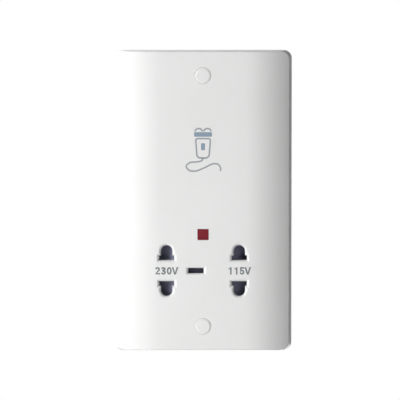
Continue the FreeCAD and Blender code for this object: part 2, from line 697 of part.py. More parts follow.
def contact_carrier():
    bottom_z = OUTLET_Z - GUIDE_OUT
    added = [box(-CARRIER_HALF_W, CARRIER_HALF_W, FLOOR_Y, CARRIER_BACK_Y, bottom_z, GUIDE_TOP_Z)]
    for side in (1, -1):
        wall_z = sorted((OUTLET_Z + side * GUIDE_IN, OUTLET_Z + side * GUIDE_OUT))
        added.append(box(-FLAT_W / 2, FLAT_W / 2, RIB_Y, FLOOR_Y, *wall_z))
        added.append(box(-CARRIER_HALF_W, CARRIER_HALF_W, RIB_Y + GUIDE_SET_BACK, FLOOR_Y, *wall_z))
    post_z = OUTLET_Z + SPRING_DZ
    post_half_h = GROOVE_HALF_H - POST_GAP
    post_y = SHUTTER_FRONT_Y + GROOVE_FRONT_WALL + POST_GAP
    added.append(box(-POST_HALF_W, POST_HALF_W, post_y, FLOOR_Y, post_z - post_half_h, post_z + post_half_h))
    shelf_top = LENS_Z + LAMP_R + LAMP_SEAT
    added.append(box(LAMP_LEFT, LAMP_RIGHT, SHELF_Y, SHELF_Y + SHELF_T, GUIDE_TOP_Z, shelf_top))
    for x in CRADLE_X:
        cradle_x = (x - CRADLE_T / 2, x + CRADLE_T / 2)
        cradle = box(*cradle_x, LAMP_Y, SHELF_Y, GUIDE_TOP_Z, shelf_top)
        added.append(cradle.cut(cyl_x(*cradle_x, LAMP_Y, LENS_Z, LAMP_R + LAMP_SEAT)))
    for post, height in ((LEAF_POST_X, LEAF_POST_H), (FIXED_POST_X, FIXED_POST_H)):
        top_z = GUIDE_TOP_Z + height
        added.append(box(*post, SWITCH_FRONT_Y, SWITCH_BACK_Y, GUIDE_TOP_Z, top_z))
        added += heat_stake(stake_x(post), top_z, top_z + LEAF_T)
    removed = []
    pocket_back = CARRIER_BACK_Y - POCKET_FLOOR
    pocket_y = (FLOOR_Y - OVER, pocket_back)
    tail_y = (pocket_back - OVER, CARRIER_BACK_Y + OVER)
    tail_w = CONTACT_T / 2 + TAIL_FIT
    tail_h = TAIL_HALF_H + TAIL_FIT
    for cx in (-OUTLET_X, OUTLET_X):
        for side in (1, -1):
            pocket_z = sorted((OUTLET_Z + side * POCKET_IN, OUTLET_Z + side * POCKET_OUT))
            removed.append(box(cx - POCKET_HALF_W, cx + POCKET_HALF_W, *pocket_y, *pocket_z))
            tail_z = OUTLET_Z + side * (POCKET_IN + POCKET_OUT) / 2
            removed.append(box(cx - tail_w, cx + tail_w, *tail_y, tail_z - tail_h, tail_z + tail_h))
    earth_half_w = EARTH_HALF_W + RUN_GAP
    earth_half_h = EARTH_HALF_H + RUN_GAP
    earth_z = (OUTLET_Z - earth_half_h, OUTLET_Z + earth_half_h)
    removed.append(box(EARTH_X - earth_half_w, EARTH_X + earth_half_w, *pocket_y, *earth_z))
    window_x = (NOTCH_X - NOSE_WINDOW_HALF, NOTCH_X + NOSE_WINDOW_HALF)
    window_y = (SWITCH_FRONT_Y - RUN_GAP, SWITCH_BACK_Y + RUN_GAP)
    window_z = (OUTLET_Z + GUIDE_IN - GUIDE_GAP, GUIDE_TOP_Z + GUIDE_GAP)
    removed.append(box(*window_x, *window_y, *window_z))
    return cut(fuse(added), removed)


def contact(cx, side):
    """A folded brass clip: two bowed leaves, a base, and a tail through the carrier."""
    mouth_y = FLOOR_Y + CONTACT_SHY
    waist_y = mouth_y + CONTACT_WAIST_DEPTH
    base_y = CARRIER_BACK_Y - POCKET_FLOOR - CONTACT_T / 2
    middle = [
        (cx - CONTACT_MOUTH_HALF, mouth_y),
        (cx - CONTACT_WAIST_HALF, waist_y),
        (cx - CONTACT_BASE_HALF, base_y),
        (cx + CONTACT_BASE_HALF, base_y),
        (cx + CONTACT_WAIST_HALF, waist_y),
        (cx + CONTACT_MOUTH_HALF, mouth_y),
    ]
    near = OUTLET_Z + side * (POCKET_IN + CONTACT_SIDE_GAP)
    far = OUTLET_Z + side * (POCKET_OUT - CONTACT_SIDE_GAP)
    span = sorted((near, far))
    clip = strip_xy(middle, CONTACT_T, *span)
    tail_z = sum(span) / 2
    half_t = CONTACT_T / 2
    tail_span = (tail_z - TAIL_HALF_H, tail_z + TAIL_HALF_H)
    tail = box(cx - half_t, cx + half_t, base_y, TAIL_END_Y, *tail_span)
    return fuse([clip, tail])


# Neon lamp and its resistor
def neon_lamp():
    glass = cyl_x(LAMP_LEFT + LAMP_R, LAMP_RIGHT, LAMP_Y, LENS_Z, LAMP_R)
    dome = Part.makeSphere(LAMP_R, V(LAMP_LEFT + LAMP_R, LAMP_Y, LENS_Z))
    start = LAMP_RIGHT - LAMP_R / 2
    upper_z = LENS_Z + LAMP_WIRE_OFF
    lower_z = LENS_Z - LAMP_WIRE_OFF
    ends = [(upper_z, COLUMN_NEON, resistor_bottom()), (lower_z, COLUMN_NEON_RETURN, LENS_Z)]
    wires = []
    for z, column, end_z in ends:
        route = [(start, LAMP_Y, z), (column, LAMP_Y, z), (column, LAMP_Y, end_z)]
        wires.append(tube(route, LAMP_WIRE_R, LAMP_WIRE_BEND))
    return fuse([glass, dome] + wires)


def resistor_bottom():
    return LENS_Z + LAMP_R + LAMP_WIRE_OFF


def resistor_top():
    return resistor_bottom() + 2 * RESISTOR_TAIL + RESISTOR_LEN


def neon_resistor():
    body_z = resistor_bottom() + RESISTOR_TAIL
    body = cyl_z(COLUMN_NEON, LAMP_Y, RESISTOR_R, body_z, body_z + RESISTOR_LEN)
    rims = [e for e in body.Edges if e.Curve.TypeId == "Part::GeomCircle"]
    body = body.makeFillet(RESISTOR_END_R, rims)
    wire = cyl_z(COLUMN_NEON, LAMP_Y, LAMP_WIRE_R, resistor_bottom(), resistor_top())
    return fuse([body, wire])


# Plug-operated switch
def switch_leaf():
    nose_z = SHUTTER_TOP_Z - NOSE_INTO_NOTCH
    middle = [
        (LEAF_TAG_X, LEAF_TAG_TOP_Z),
        (LEAF_TAG_X, LEAF_Z),
        (NOTCH_X + NOSE_ROOT_HALF, LEAF_Z),
        (NOTCH_X + NOSE_TIP_HALF, nose_z),
        (NOTCH_X - NOSE_TIP_HALF, nose_z),
        (NOTCH_X - NOSE_ROOT_HALF, LEAF_Z),
        (LEAF_END_X, LEAF_Z),
    ]
    leaf = strip_xz(middle, LEAF_T, SWITCH_FRONT_Y, SWITCH_BACK_Y)
    hole = cyl_z(stake_x(LEAF_POST_X), SWITCH_Y, STAKE_R + STAKE_FIT, LEAF_Z - LEAF_T, LEAF_Z + LEAF_T)
    tip_z = LEAF_Z + LEAF_T / 2
    return fuse([leaf.cut(hole), cyl_z(TIP_X, SWITCH_Y, TIP_R, tip_z, tip_z + TIP_H)])


def switch_fixed_contact():
    half_t = LEAF_T / 2
    span = (FIXED_Z - half_t, FIXED_Z + half_t)
    bar = box(FIXED_POST_X[0], FIXED_END_X, SWITCH_FRONT_Y, SWITCH_BACK_Y, *span)
    tag_x = (FIXED_POST_X[0], FIXED_POST_X[0] + FIXED_TAG_W)
    tag = box(*tag_x, SWITCH_BACK_Y, SWITCH_BACK_Y + FIXED_TAG_LEN, *span)
    hole = cyl_z(stake_x(FIXED_POST_X), SWITCH_Y, STAKE_R + STAKE_FIT, FIXED_Z - LEAF_T, FIXED_Z + LEAF_T)
    tip = cyl_z(TIP_X, SWITCH_Y, TIP_R, FIXED_Z - half_t - TIP_H, FIXED_Z - half_t)
    return fuse([bar.cut(hole), tag, tip])


# Transformer
def core_hole_places():
    x = CORE_W / 2 - CORE_HOLE_IN
    z = CORE_H / 2 - CORE_HOLE_IN
    return [(sx * x, CORE_Z + sz * z) for sx in (1, -1) for sz in (1, -1)]


def transformer_core():
    half_w = CORE_W / 2
    block = box(-half_w, half_w, CORE_FRONT_Y, CORE_BACK_Y, CORE_BOTTOM_Z, CORE_TOP_Z)
    removed = []
    for side in (1, -1):
        window_x = sorted((side * TONGUE_W / 2, side * (TONGUE_W / 2 + WINDOW_W)))
        window_z = (CORE_Z - WINDOW_H / 2, CORE_Z + WINDOW_H / 2)
        removed.append(box(*window_x, CORE_FRONT_Y - OVER, CORE_BACK_Y + OVER, *window_z))
    for x, z in core_hole_places():
        removed.append(cyl_y(x, z, CORE_HOLE_R, CORE_FRONT_Y - OVER, CORE_BACK_Y + OVER))
    return cut(block, removed)


def ring_z(half_x, half_y, hole_x, hole_y, corner_r, z0, z1):
    """A rectangular ring round the core's tongue, with round outer corners."""
    outer = rounded_block(half_x, half_y, corner_r, 0, z1 - z0)
    outer.rotate(V(0, 0, 0), V(1, 0, 0), 90)
    outer.translate(V(0, CORE_Y, z0))
    return outer.cut(box(-hole_x, hole_x, CORE_Y - hole_y, CORE_Y + hole_y, z0 - OVER, z1 + OVER))


def tube_half():
    """Half width and half depth of the bobbin's tube, outside."""
    grow = BOBBIN_FIT + BOBBIN_T
    return TONGUE_W / 2 + grow, STACK / 2 + grow


def bobbin():
    hole = (TONGUE_W / 2 + BOBBIN_FIT, STACK / 2 + BOBBIN_FIT)
    bottom = CORE_Z - BOBBIN_HALF_H
    top = CORE_Z + BOBBIN_HALF_H
    rings = [ring_z(*tube_half(), *hole, BOBBIN_T, bottom, top)]
    for z in (bottom, CORE_Z - BOBBIN_T / 2, top - BOBBIN_T):
        rings.append(ring_z(BOBBIN_HALF_W, BOBBIN_HALF_Y, *hole, BOBBIN_T, z, z + BOBBIN_T))
    return fuse(rings)


def winding(side):
    hole = [half + WINDING_FIT for half in tube_half()]
    outer = (BOBBIN_HALF_W - WINDING_SHY, BOBBIN_HALF_Y - WINDING_SHY)
    span = sorted((CORE_Z + side * SECTION_IN, CORE_Z + side * SECTION_OUT))
    return ring_z(*outer, *hole, WINDING_CORNER_R, *span)


def thermal_cutout():
    cut_x = (CUTOUT_X - CUTOUT_W / 2, CUTOUT_X + CUTOUT_W / 2)
    body = box(*cut_x, WINDING_FRONT_Y - CUTOUT_T, WINDING_FRONT_Y, CUTOUT_BOTTOM_Z, CUTOUT_TOP_Z)
    front = [e for e in body.Edges if e.BoundBox.YMax < WINDING_FRONT_Y - CUTOUT_T / 2]
    return body.makeFillet(CUTOUT_EDGE_R, front)


def core_screws():
    screws = []
    tip_y = CORE_BACK_Y + CORE_SCREW_BITE
    for x, z in core_hole_places():
        head = slotted_head(x, z, CORE_SCREW_HEAD_R, CORE_FRONT_Y - CORE_SCREW_HEAD_H, CORE_FRONT_Y, True)
        screws.append(fuse([head, cyl_y(x, z, CORE_SCREW_R, CORE_FRONT_Y, tip_y)]))
    return Part.makeCompound(screws)


# Rear housing
def clamp_places():
    x = CARRIER_HALF_W - CLAMP_PILLAR_IN
    return [(sx * x, OUTLET_Z + sz * CLAMP_PILLAR_DZ) for sx in (1, -1) for sz in (1, -1)]


def terminal_places():
    return {"live": -TERMINAL_PITCH, "earth": 0.0, "neutral": TERMINAL_PITCH}


def stepped_shell():
    """The housing's open box, shallower below the step."""
    outer = rounded_block(HOUSING_HALF_W, HOUSING_HALF_H, HOUSING_CORNER_R, EAR_FRONT_Y, HOUSING_DEPTH)
    far = HOUSING_HALF_W + OVER
    deep = HOUSING_DEPTH + OVER
    low = -HOUSING_HALF_H - OVER
    outer = outer.cut(box(-far, far, STEP_DEPTH, deep, low, STEP_Z))
    rear = [e for e in outer.Edges if e.BoundBox.YMin > HOUSING_DEPTH - REAR_EDGE_R]
    outer = outer.makeFillet(REAR_EDGE_R, rear)
    inner_r = HOUSING_CORNER_R - HOUSING_WALL
    inner = rounded_block(HOUSING_IN_HALF_W, HOUSING_IN_HALF_H, inner_r, EAR_FRONT_Y - OVER, HOUSING_IN_Y)
    inner = inner.cut(box(-far, far, STEP_IN_Y, deep, low, STEP_Z + HOUSING_WALL))
    return outer.cut(inner)


def terminal_nest(x):
    half_w = TERMINAL_W / 2 + NEST_FIT
    front = HOUSING_IN_Y - TERMINAL_D - NEST_FIT
    top = TERMINAL_TOP_Z - NEST_SHY
    wall = NEST_WALL
    outer_w = half_w + wall
    outside = box(x - outer_w, x + outer_w, front - wall, HOUSING_IN_Y + wall, STEP_Z + wall, top)
    return outside.cut(box(x - half_w, x + half_w, front, HOUSING_IN_Y, TERMINAL_BOTTOM_Z, top))


def side_ribs():
    reach = HOUSING_HALF_W + SIDE_RIB_PROUD
    root = HOUSING_HALF_W - HOUSING_WALL / 2
    rib_y = (EAR_BACK_Y, HOUSING_DEPTH - SIDE_RIB_SHY)
    ribs = []
    for i in range(SIDE_RIB_COUNT):
        z = CORE_Z + (i - (SIDE_RIB_COUNT - 1) / 2) * SIDE_RIB_PITCH
        for x in ((-reach, -root), (root, reach)):
            ribs.append(box(*x, *rib_y, z - SIDE_RIB_T / 2, z + SIDE_RIB_T / 2))
    return ribs


def rear_housing():
    added = [stepped_shell()]
    removed = []
    for sx in (1, -1):
        for sz in (1, -1):
            x = sx * EAR_X
            z = sz * EAR_Z
            root = sorted((sz * (HOUSING_HALF_H - HOUSING_WALL / 2), z))
            added.append(box(x - EAR_R, x + EAR_R, EAR_FRONT_Y, EAR_BACK_Y, *root))
            added.append(cyl_y(x, z, EAR_R, EAR_FRONT_Y, EAR_BACK_Y))
            removed.append(cyl_y(x, z, EAR_HOLE_R, EAR_FRONT_Y - OVER, EAR_BACK_Y + OVER))
    for x, z in clamp_places():
        rear = HOUSING_IN_Y if z > STEP_Z else STEP_IN_Y
        added.append(cyl_y(x, z, CLAMP_PILLAR_R, CARRIER_BACK_Y, rear + HOUSING_REAR_T / 2))
    for x, z in core_hole_places():
        added.append(cyl_y(x, z, CORE_PILLAR_R, CORE_BACK_Y, HOUSING_IN_Y + HOUSING_REAR_T / 2))
        hole_end = CORE_BACK_Y + CORE_SCREW_BITE + PILOT_SPARE
        removed.append(cyl_y(x, z, CORE_SCREW_R + PILOT_FIT, CORE_BACK_Y - OVER, hole_end))
    for x in terminal_places().values():
        added.append(terminal_nest(x))
        removed.append(cyl_z(x, TERMINAL_Y, TERMINAL_ENTRY_R, STEP_Z - OVER, TERMINAL_BOTTOM_Z))
        screw_z = TERMINAL_BOTTOM_Z + TERMINAL_H / 2
        removed.append(cyl_y(x, screw_z, TERMINAL_ACCESS_R, HOUSING_IN_Y, HOUSING_DEPTH + OVER))
        removed.append(cyl_y(x, screw_z, TERMINAL_DISH_R, HOUSING_DEPTH - PANEL_DEPTH, HOUSING_DEPTH + OVER))
    first = -(VENT_COUNT - 1) / 2 * VENT_PITCH
    vent = (VENT_W / 2, VENT_H / 2, VENT_W * VENT_END_SHARE, HOUSING_IN_Y - OVER, HOUSING_DEPTH + OVER)
    for i in range(VENT_COUNT):
        removed.append(rounded_block(*vent, first + i * VENT_PITCH, CORE_Z))
    panel_z = (CORE_Z - VENT_H / 2 + TERMINAL_TOP_Z) / 2
    panel_y = (HOUSING_DEPTH - PANEL_DEPTH, HOUSING_DEPTH + OVER)
    removed.append(rounded_block(PANEL_W / 2, PANEL_H / 2, PANEL_R, *panel_y, 0.0, panel_z))
    added += side_ribs()
    return cut(fuse(added), removed)


def housing_screws():
    screws = []
    for sx in (1, -1):
        for sz in (1, -1):
            x = sx * EAR_X
            z = sz * EAR_Z
            head = slotted_head(x, z, EAR_SCREW_HEAD_R, EAR_BACK_Y, EAR_BACK_Y + EAR_SCREW_HEAD_H, False)
            screws.append(fuse([head, cyl_y(x, z, EAR_SCREW_R, EAR_BACK_Y - EAR_SCREW_LEN, EAR_BACK_Y)]))
    return Part.makeCompound(screws)


# Supply terminals
def terminal(x):
    half_w = TERMINAL_W / 2
    half_d = TERMINAL_D / 2
    block_y = (TERMINAL_Y - half_d, TERMINAL_Y + half_d)
    block = box(x - half_w, x + half_w, *block_y, TERMINAL_BOTTOM_Z, TERMINAL_TOP_Z)
    bore = cyl_z(x, TERMINAL_Y, TERMINAL_BORE_R, TERMINAL_BOTTOM_Z - OVER, TERMINAL_TOP_Z + OVER)
    screw_z = TERMINAL_BOTTOM_Z + TERMINAL_H / 2
    tapped = cyl_y(x, screw_z, TERMINAL_SCREW_R + PILOT_FIT, TERMINAL_Y, HOUSING_IN_Y + OVER)
    return cut(block, [bore, tapped])


def terminal_screws():
    screws = []
    screw_z = TERMINAL_BOTTOM_Z + TERMINAL_H / 2
    tip_y = TERMINAL_Y + TERMINAL_BORE_R + TERMINAL_SCREW_CLEAR
    end_y = HOUSING_DEPTH - TERMINAL_SCREW_SHY
    for x in terminal_places().values():
        screws.append(slotted_head(x, screw_z, TERMINAL_SCREW_R, tip_y, end_y, False))
    return Part.makeCompound(screws)


# Leads
def terminal_lead_start(x):
    """Foot of a supply lead on the front edge of its terminal's top."""
    return (x, TERMINAL_Y - (TERMINAL_D / 2 + TERMINAL_BORE_R) / 2, TERMINAL_TOP_Z)


def supply_leads():
    places = terminal_places()
    live = terminal_lead_start(places["live"])
    neutral = terminal_lead_start(places["neutral"])
    earth = terminal_lead_start(places["earth"])
    tag_x = FIXED_POST_X[0] + FIXED_TAG_W / 2
    tag_y = SWITCH_BACK_Y + FIXED_TAG_LEN
    half_way = (CORE_Y + tag_y) / 2
    leads = {}
    leads["live_lead"] = [
        live,
        (live[0], live[1], FIXED_Z),
        (tag_x, half_way, FIXED_Z),
        (tag_x, tag_y, FIXED_Z),
    ]
    leads["switched_lead"] = [
        (LEAF_TAG_X, SWITCH_Y, LEAF_TAG_TOP_Z),
        (LEAF_TAG_X, SWITCH_Y, LEAF_TAG_TOP_Z + LEAD_JOG),
        (CUTOUT_X, LEAD_Y, CORE_BOTTOM_Z),
        (CUTOUT_X, LEAD_Y, CUTOUT_BOTTOM_Z),
    ]
    leads["neutral_lead"] = [
        neutral,
        (neutral[0], neutral[1], NEUTRAL_Z),
        (COLUMN_NEUTRAL, CORE_FRONT_Y, NEUTRAL_Z),
        (COLUMN_NEUTRAL, LEAD_Y, NEUTRAL_Z),
        (COLUMN_NEUTRAL, LEAD_Y, PRIMARY_Z),
        (COLUMN_NEUTRAL, WINDING_FRONT_Y, PRIMARY_Z),
    ]
    leads["earth_lead"] = [
        earth,
        (earth[0], earth[1], TAP_Z),
        (earth[0], EARTH_LEAD_Y, NEUTRAL_Z),
        (earth[0], EARTH_LEAD_Y, CORE_BOTTOM_Z),
    ]
    return leads


def tap_lead(column, cx, side):
    """From the front of the secondary, under the core and down to a contact's tail."""
    tail_z = OUTLET_Z + side * (POCKET_IN + POCKET_OUT) / 2
    turn_y = TAIL_END_Y + TAIL_TURN
    return [
        (column, WINDING_FRONT_Y, SECONDARY_Z),
        (column, LEAD_Y, SECONDARY_Z),
        (column, LEAD_Y, TAP_Z),
        (cx, turn_y, TAP_Z),
        (cx, turn_y, tail_z),
        (cx, TAIL_END_Y, tail_z),
    ]


def common_route():
    """As a tap lead, but down between the contacts to the lower one."""
    route = tap_lead(COLUMN_COMMON, -OUTLET_X, -1)
    turn = route[3]
    foot = route[4]
    between = [(COLUMN_COMMON, turn[1], turn[2]), (COLUMN_COMMON, foot[1], foot[2])]
    return route[:3] + between + route[4:]


def neon_route(column, z_from, z_to):
    return [
        (column, LAMP_Y, z_from),
        (column, LAMP_Y, z_from + LEAD_JOG),
        (column, LEAD_Y, CORE_BOTTOM_Z),
        (column, LEAD_Y, z_to),
        (column, WINDING_FRONT_Y, z_to),
    ]


def common_link():
    tail_z = OUTLET_Z - (POCKET_IN + POCKET_OUT) / 2
    end = OUTLET_X - CONTACT_T / 2
    return cyl_x(-end, end, CARRIER_BACK_Y + TAIL_LEN / 2, tail_z, LEAD_R)


def all_leads():
    leads = supply_leads()
    leads["tap_230_lead"] = tap_lead(COLUMN_TAP_230, -OUTLET_X, 1)
    leads["tap_115_lead"] = tap_lead(COLUMN_TAP_115, OUTLET_X, 1)
    leads["common_lead"] = common_route()
    leads["neon_lead"] = neon_route(COLUMN_NEON, resistor_top(), SECONDARY_Z)
    leads["neon_return_lead"] = neon_route(COLUMN_NEON_RETURN, LENS_Z, SECONDARY_Z)
    solids = {name: tube(points, LEAD_R) for name, points in leads.items()}
    solids["common_link"] = common_link()
    return solids


def all_parts():
    parts = {
        "front_plate": front_plate(),
        "screw_cap_upper": screw_cap(1),
        "screw_cap_lower": screw_cap(-1),
        "fixing_screw_upper": fixing_screw(1),
        "fixing_screw_lower": fixing_screw(-1),
        "neon_lens": neon_lens(),
        "interlock_shutter": interlock_shutter(),
        "shutter_spring_left": shutter_spring(-1),
        "shutter_spring_right": shutter_spring(1),
        "contact_carrier": contact_carrier(),
        "contact_230_upper": contact(-OUTLET_X, 1),
        "contact_230_lower": contact(-OUTLET_X, -1),
        "contact_115_upper": contact(OUTLET_X, 1),
        "contact_115_lower": contact(OUTLET_X, -1),
        "neon_lamp": neon_lamp(),
        "neon_resistor": neon_resistor(),
        "switch_leaf": switch_leaf(),
        "switch_fixed_contact": switch_fixed_contact(),
        "transformer_core": transformer_core(),
        "bobbin": bobbin(),
        "primary_winding": winding(1),
        "secondary_winding": winding(-1),
        "thermal_cutout": thermal_cutout(),
        "core_screws": core_screws(),
        "rear_housing": rear_housing(),
        "housing_screws": housing_screws(),
        "terminal_screws": terminal_screws(),
    }
    for name, x in terminal_places().items():
        parts["terminal_" + name] = terminal(x)
    parts.update(all_leads())
    return parts


os.makedirs("parts", exist_ok=True)
for part_name, part_shape in all_parts().items():
    save(part_name, part_shape)
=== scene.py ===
import json
import math

import bmesh
import bpy
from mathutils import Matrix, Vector
from mathutils.bvhtree import BVHTree


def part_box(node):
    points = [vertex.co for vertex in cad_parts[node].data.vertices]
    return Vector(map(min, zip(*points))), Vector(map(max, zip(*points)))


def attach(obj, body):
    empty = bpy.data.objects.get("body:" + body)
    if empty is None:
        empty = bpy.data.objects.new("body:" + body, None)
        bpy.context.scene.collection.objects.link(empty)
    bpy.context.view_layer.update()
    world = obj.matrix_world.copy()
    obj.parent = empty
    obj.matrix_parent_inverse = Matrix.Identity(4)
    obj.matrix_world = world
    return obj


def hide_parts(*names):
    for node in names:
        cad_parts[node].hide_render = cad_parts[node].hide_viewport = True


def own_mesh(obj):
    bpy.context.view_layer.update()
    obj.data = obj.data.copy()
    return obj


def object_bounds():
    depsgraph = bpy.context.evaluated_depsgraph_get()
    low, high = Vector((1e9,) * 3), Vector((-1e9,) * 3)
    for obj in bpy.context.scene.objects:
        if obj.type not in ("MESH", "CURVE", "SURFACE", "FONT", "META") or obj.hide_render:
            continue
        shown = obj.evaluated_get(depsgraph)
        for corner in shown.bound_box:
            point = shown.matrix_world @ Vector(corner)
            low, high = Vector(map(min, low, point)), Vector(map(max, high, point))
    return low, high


# Looks of the shaver socket. Metres, in the part's frame: +Z up, the face looks along -Y.
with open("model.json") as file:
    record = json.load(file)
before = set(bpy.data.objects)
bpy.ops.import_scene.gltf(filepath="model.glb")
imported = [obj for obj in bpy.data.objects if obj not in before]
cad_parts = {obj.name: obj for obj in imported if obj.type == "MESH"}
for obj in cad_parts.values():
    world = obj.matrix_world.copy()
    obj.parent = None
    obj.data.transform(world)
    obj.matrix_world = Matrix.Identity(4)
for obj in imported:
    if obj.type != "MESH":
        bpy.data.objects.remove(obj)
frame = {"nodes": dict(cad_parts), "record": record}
CAD_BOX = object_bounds()
NODES = frame["nodes"]
RECORD = frame["record"]
MM = 0.001
RAY_CLEAR = 1.0 * MM       # rays that look for a surface start this far off the part

# Camera, set so that the face has the photo's scale and place
IMAGE_PX = 400
SENSOR_MM = 36.0
FACE_PX_PER_MM = 2.081
FACE_CENTRE_PX = (203.05, 201.3)
CAMERA_DISTANCE = 0.88
CAMERA_ELEVATION = math.radians(2.35)

# Stage and light: each lamp is a place, a width, a height and a power in watts
FLOOR_Z = -0.40
FLOOR_HALF = 0.8
FLOOR_ROUGHNESS = 0.8
FADE_START = 0.15          # the floor fades to white between these distances from its middle
FADE_END = 0.75
AMBIENT = 0.04
LAMPS = {
    "key_left": ((-0.64, -0.54, 0.25), 0.40, 0.50, 5.8),
    "low_left": ((-0.36, -0.28, -0.27), 0.32, 0.20, 0.75),
    "front_high": ((0.05, -0.80, 0.55), 0.50, 0.30, 0.65),
    "front_low": ((0.0, -0.85, -0.30), 0.50, 0.20, 1.25),
    "top_left": ((-0.15, 0.04, 0.17), 0.08, 0.08, 0.13),
    "rear_left": ((-0.50, 0.82, 0.26), 0.50, 0.50, 2.7),
    "rear_low": ((-0.42, 0.76, -0.24), 0.40, 0.25, 1.2),
    "rear_right": ((0.24, 0.84, -0.33), 0.30, 0.12, 1.7),
}

# Textures
NOISE_SPAN = (0.3, 0.7)    # most of a noise lies between these
TONE_SPAN = (0.35, 0.65)
BAND_SCALE = 2 * math.pi / 20    # Blender's wave texture makes 20 radians per unit
METAL_PATCH_MM = 2.5
SCRATCH_MM = 3.0
SCRATCH_DEPTH_MM = 0.004
WIRE_SHADE = 0.82          # worn patches of a lead's cover, as a share of its colour

# Shutter: painted light and shade. The slider's front is painted dark, and its ramps behind the front are
# painted paler, standing in for the light that reaches into the pin holes
PAINTED_LIGHT_START = 0.05 * MM
PAINTED_LIGHT_END = 0.6 * MM
PAINTED_LIGHT_WEIGHT = 0.75

# Print on the face
INK_THICKNESS = 0.015 * MM
INK_MERGE = INK_THICKNESS / 10
LINE_W = 0.75 * MM
MITRE_LIMIT = 0.7

# Figures of the voltages, in units of their height; bowls are a middle and two angles
FIGURE_H = 3.6 * MM
FIGURE_W = 0.66
FIGURE_STEP = 0.785
FIGURE_LINE = 0.215
ONE_STEM = (0.31, 0.515)
ONE_FLAG = ((0.36, 1), (0.325, 0.915), (0.25, 0.855), (0.10, 0.835), (0.10, 0.71), (0.31, 0.71))
TWO_BOWL = (0.70, 172, -38)
TWO_FOOT = 0.03
THREE_UPPER = (0.745, 168, -90)
THREE_LOWER = (0.295, 90, -170)
THREE_INSET = 0.02         # the upper bowl is this much narrower
THREE_BAR = 0.12
FIVE_BOWL = (0.33, 138, -168)
FIVE_TOP = (0.175, 0.03)   # ends of the top bar, from the left and from the right
V_W = 0.89
V_LIMB = 0.235
V_CROTCH = 0.27

# Pictogram of an electric shaver, in mm from its middle; corners are x, y and a radius
EMBLEM_CENTRE = (0.0, 24.8 * MM)
SHAVER_SHOULDER = (2.6, 4.4, 0.9)
SHAVER_FOOT = (1.2, -2.2, 1.8)
SHAVER_TAPER_DEG = 4
SHAVER_FOIL = (2.1, 8.7, 1.7)
FOIL_TALL = 0.85
SHAVER_LEAD = (
    (0, -4.0), (-0.7, -5.3), (-3.2, -5.9), (-6.2, -6.2), (-8.1, -8.0), (-6.3, -10.1),
    (-2.9, -10.1), (1.0, -8.5), (4.4, -6.9), (7.0, -6.9), (8.3, -8.6), (8.4, -10.0),
)
SHAVER_FILLS = ((7.3, 4.3, 1.1), (1.4, 0.95, 1.7))    # head bar and switch: height, half width, half height
FILL_CORNER_R = 0.5

# Terminal letters moulded on the housing's step, below the terminals
LETTER_CAP_H = 3.2 * MM
LETTER_W = 2.4 * MM
LETTER_RELIEF = 0.3 * MM
LETTER_WEIGHT = 0.045
LETTER_DROP = 17.0 * MM

# Fixing screws
THREAD_PITCH = 0.6 * MM
THREAD_DEPTH = 0.36 * MM
THREAD_SUNK = 0.06 * MM    # the ridge's foot lies this deep in its core
THREAD_PROFILE = ((0.0, 0.0), (0.38, 1.0), (0.5, 1.0), (0.88, 0.0))    # shares of the pitch and height
NECK_R = 1.45 * MM
NECK_END = 3.1 * MM
HEAD_H = 2.2 * MM
HEAD_EDGE = 0.5 * MM
HEAD_EDGE_STEPS = 4
SLOT_W = 0.8 * MM
SLOT_DEPTH = 0.9 * MM
TIP_CHAMFER = 0.8 * MM
TURN_STEPS = 24

# Centring springs and switch leaf
SPRING_WIRE_R = 0.2 * MM
SPRING_COILS = 5


# Material helpers
def new_material(name):
    made = bpy.data.materials.new(name)
    made.use_nodes = True
    return made, made.node_tree, made.node_tree.nodes["Principled BSDF"]


def texture(tree, kind, size_mm, stretch=(1, 1, 1), **settings):
    """A procedural texture in the part's frame whose features are about size_mm across."""
    coords = tree.nodes.new("ShaderNodeTexCoord")
    mapping = tree.nodes.new("ShaderNodeMapping")
    mapping.inputs["Scale"].default_value = [s / (size_mm * MM) for s in stretch]
    tree.links.new(coords.outputs["Object"], mapping.inputs["Vector"])
    made = tree.nodes.new(kind)
    tree.links.new(mapping.outputs["Vector"], made.inputs["Vector"])
    for socket, value in settings.items():
        made.inputs[socket].default_value = value
    return made.outputs["Fac"]


def noise(tree, size_mm, stretch=(1, 1, 1), detail=3.0):
    return texture(tree, "ShaderNodeTexNoise", size_mm, stretch, Scale=1.0, Detail=detail)


def bands(tree, size_mm, direction, distortion=0.0):
    """Even bands along one axis, such as wire turns or stacked sheets."""
    fac = texture(tree, "ShaderNodeTexWave", size_mm, Scale=BAND_SCALE, Distortion=distortion)
    fac.node.bands_direction = direction
    return fac


def tones(tree, shader, fac, dark, light):
    """A base colour between two tones."""
    ramp = tree.nodes.new("ShaderNodeValToRGB")
    for stop, position, colour in zip(ramp.color_ramp.elements, TONE_SPAN, (dark, light)):
        stop.position = position
        stop.color = (*colour, 1)
    tree.links.new(fac, ramp.inputs["Fac"])
    tree.links.new(ramp.outputs["Color"], shader.inputs["Base Color"])


def wander(tree, shader, socket, fac, low, high):
    """A shader value that wanders between two numbers."""
    spread = tree.nodes.new("ShaderNodeMapRange")
    spread.inputs["From Min"].default_value = NOISE_SPAN[0]
    spread.inputs["From Max"].default_value = NOISE_SPAN[1]
    spread.inputs["To Min"].default_value = low
    spread.inputs["To Max"].default_value = high
    tree.links.new(fac, spread.inputs["Value"])
    tree.links.new(spread.outputs["Result"], shader.inputs[socket])


def relief(tree, shader, fac, depth_mm):
    raised = tree.nodes.new("ShaderNodeBump")
    raised.inputs["Distance"].default_value = depth_mm * MM
    tree.links.new(fac, raised.inputs["Height"])
    tree.links.new(raised.outputs["Normal"], shader.inputs["Normal"])


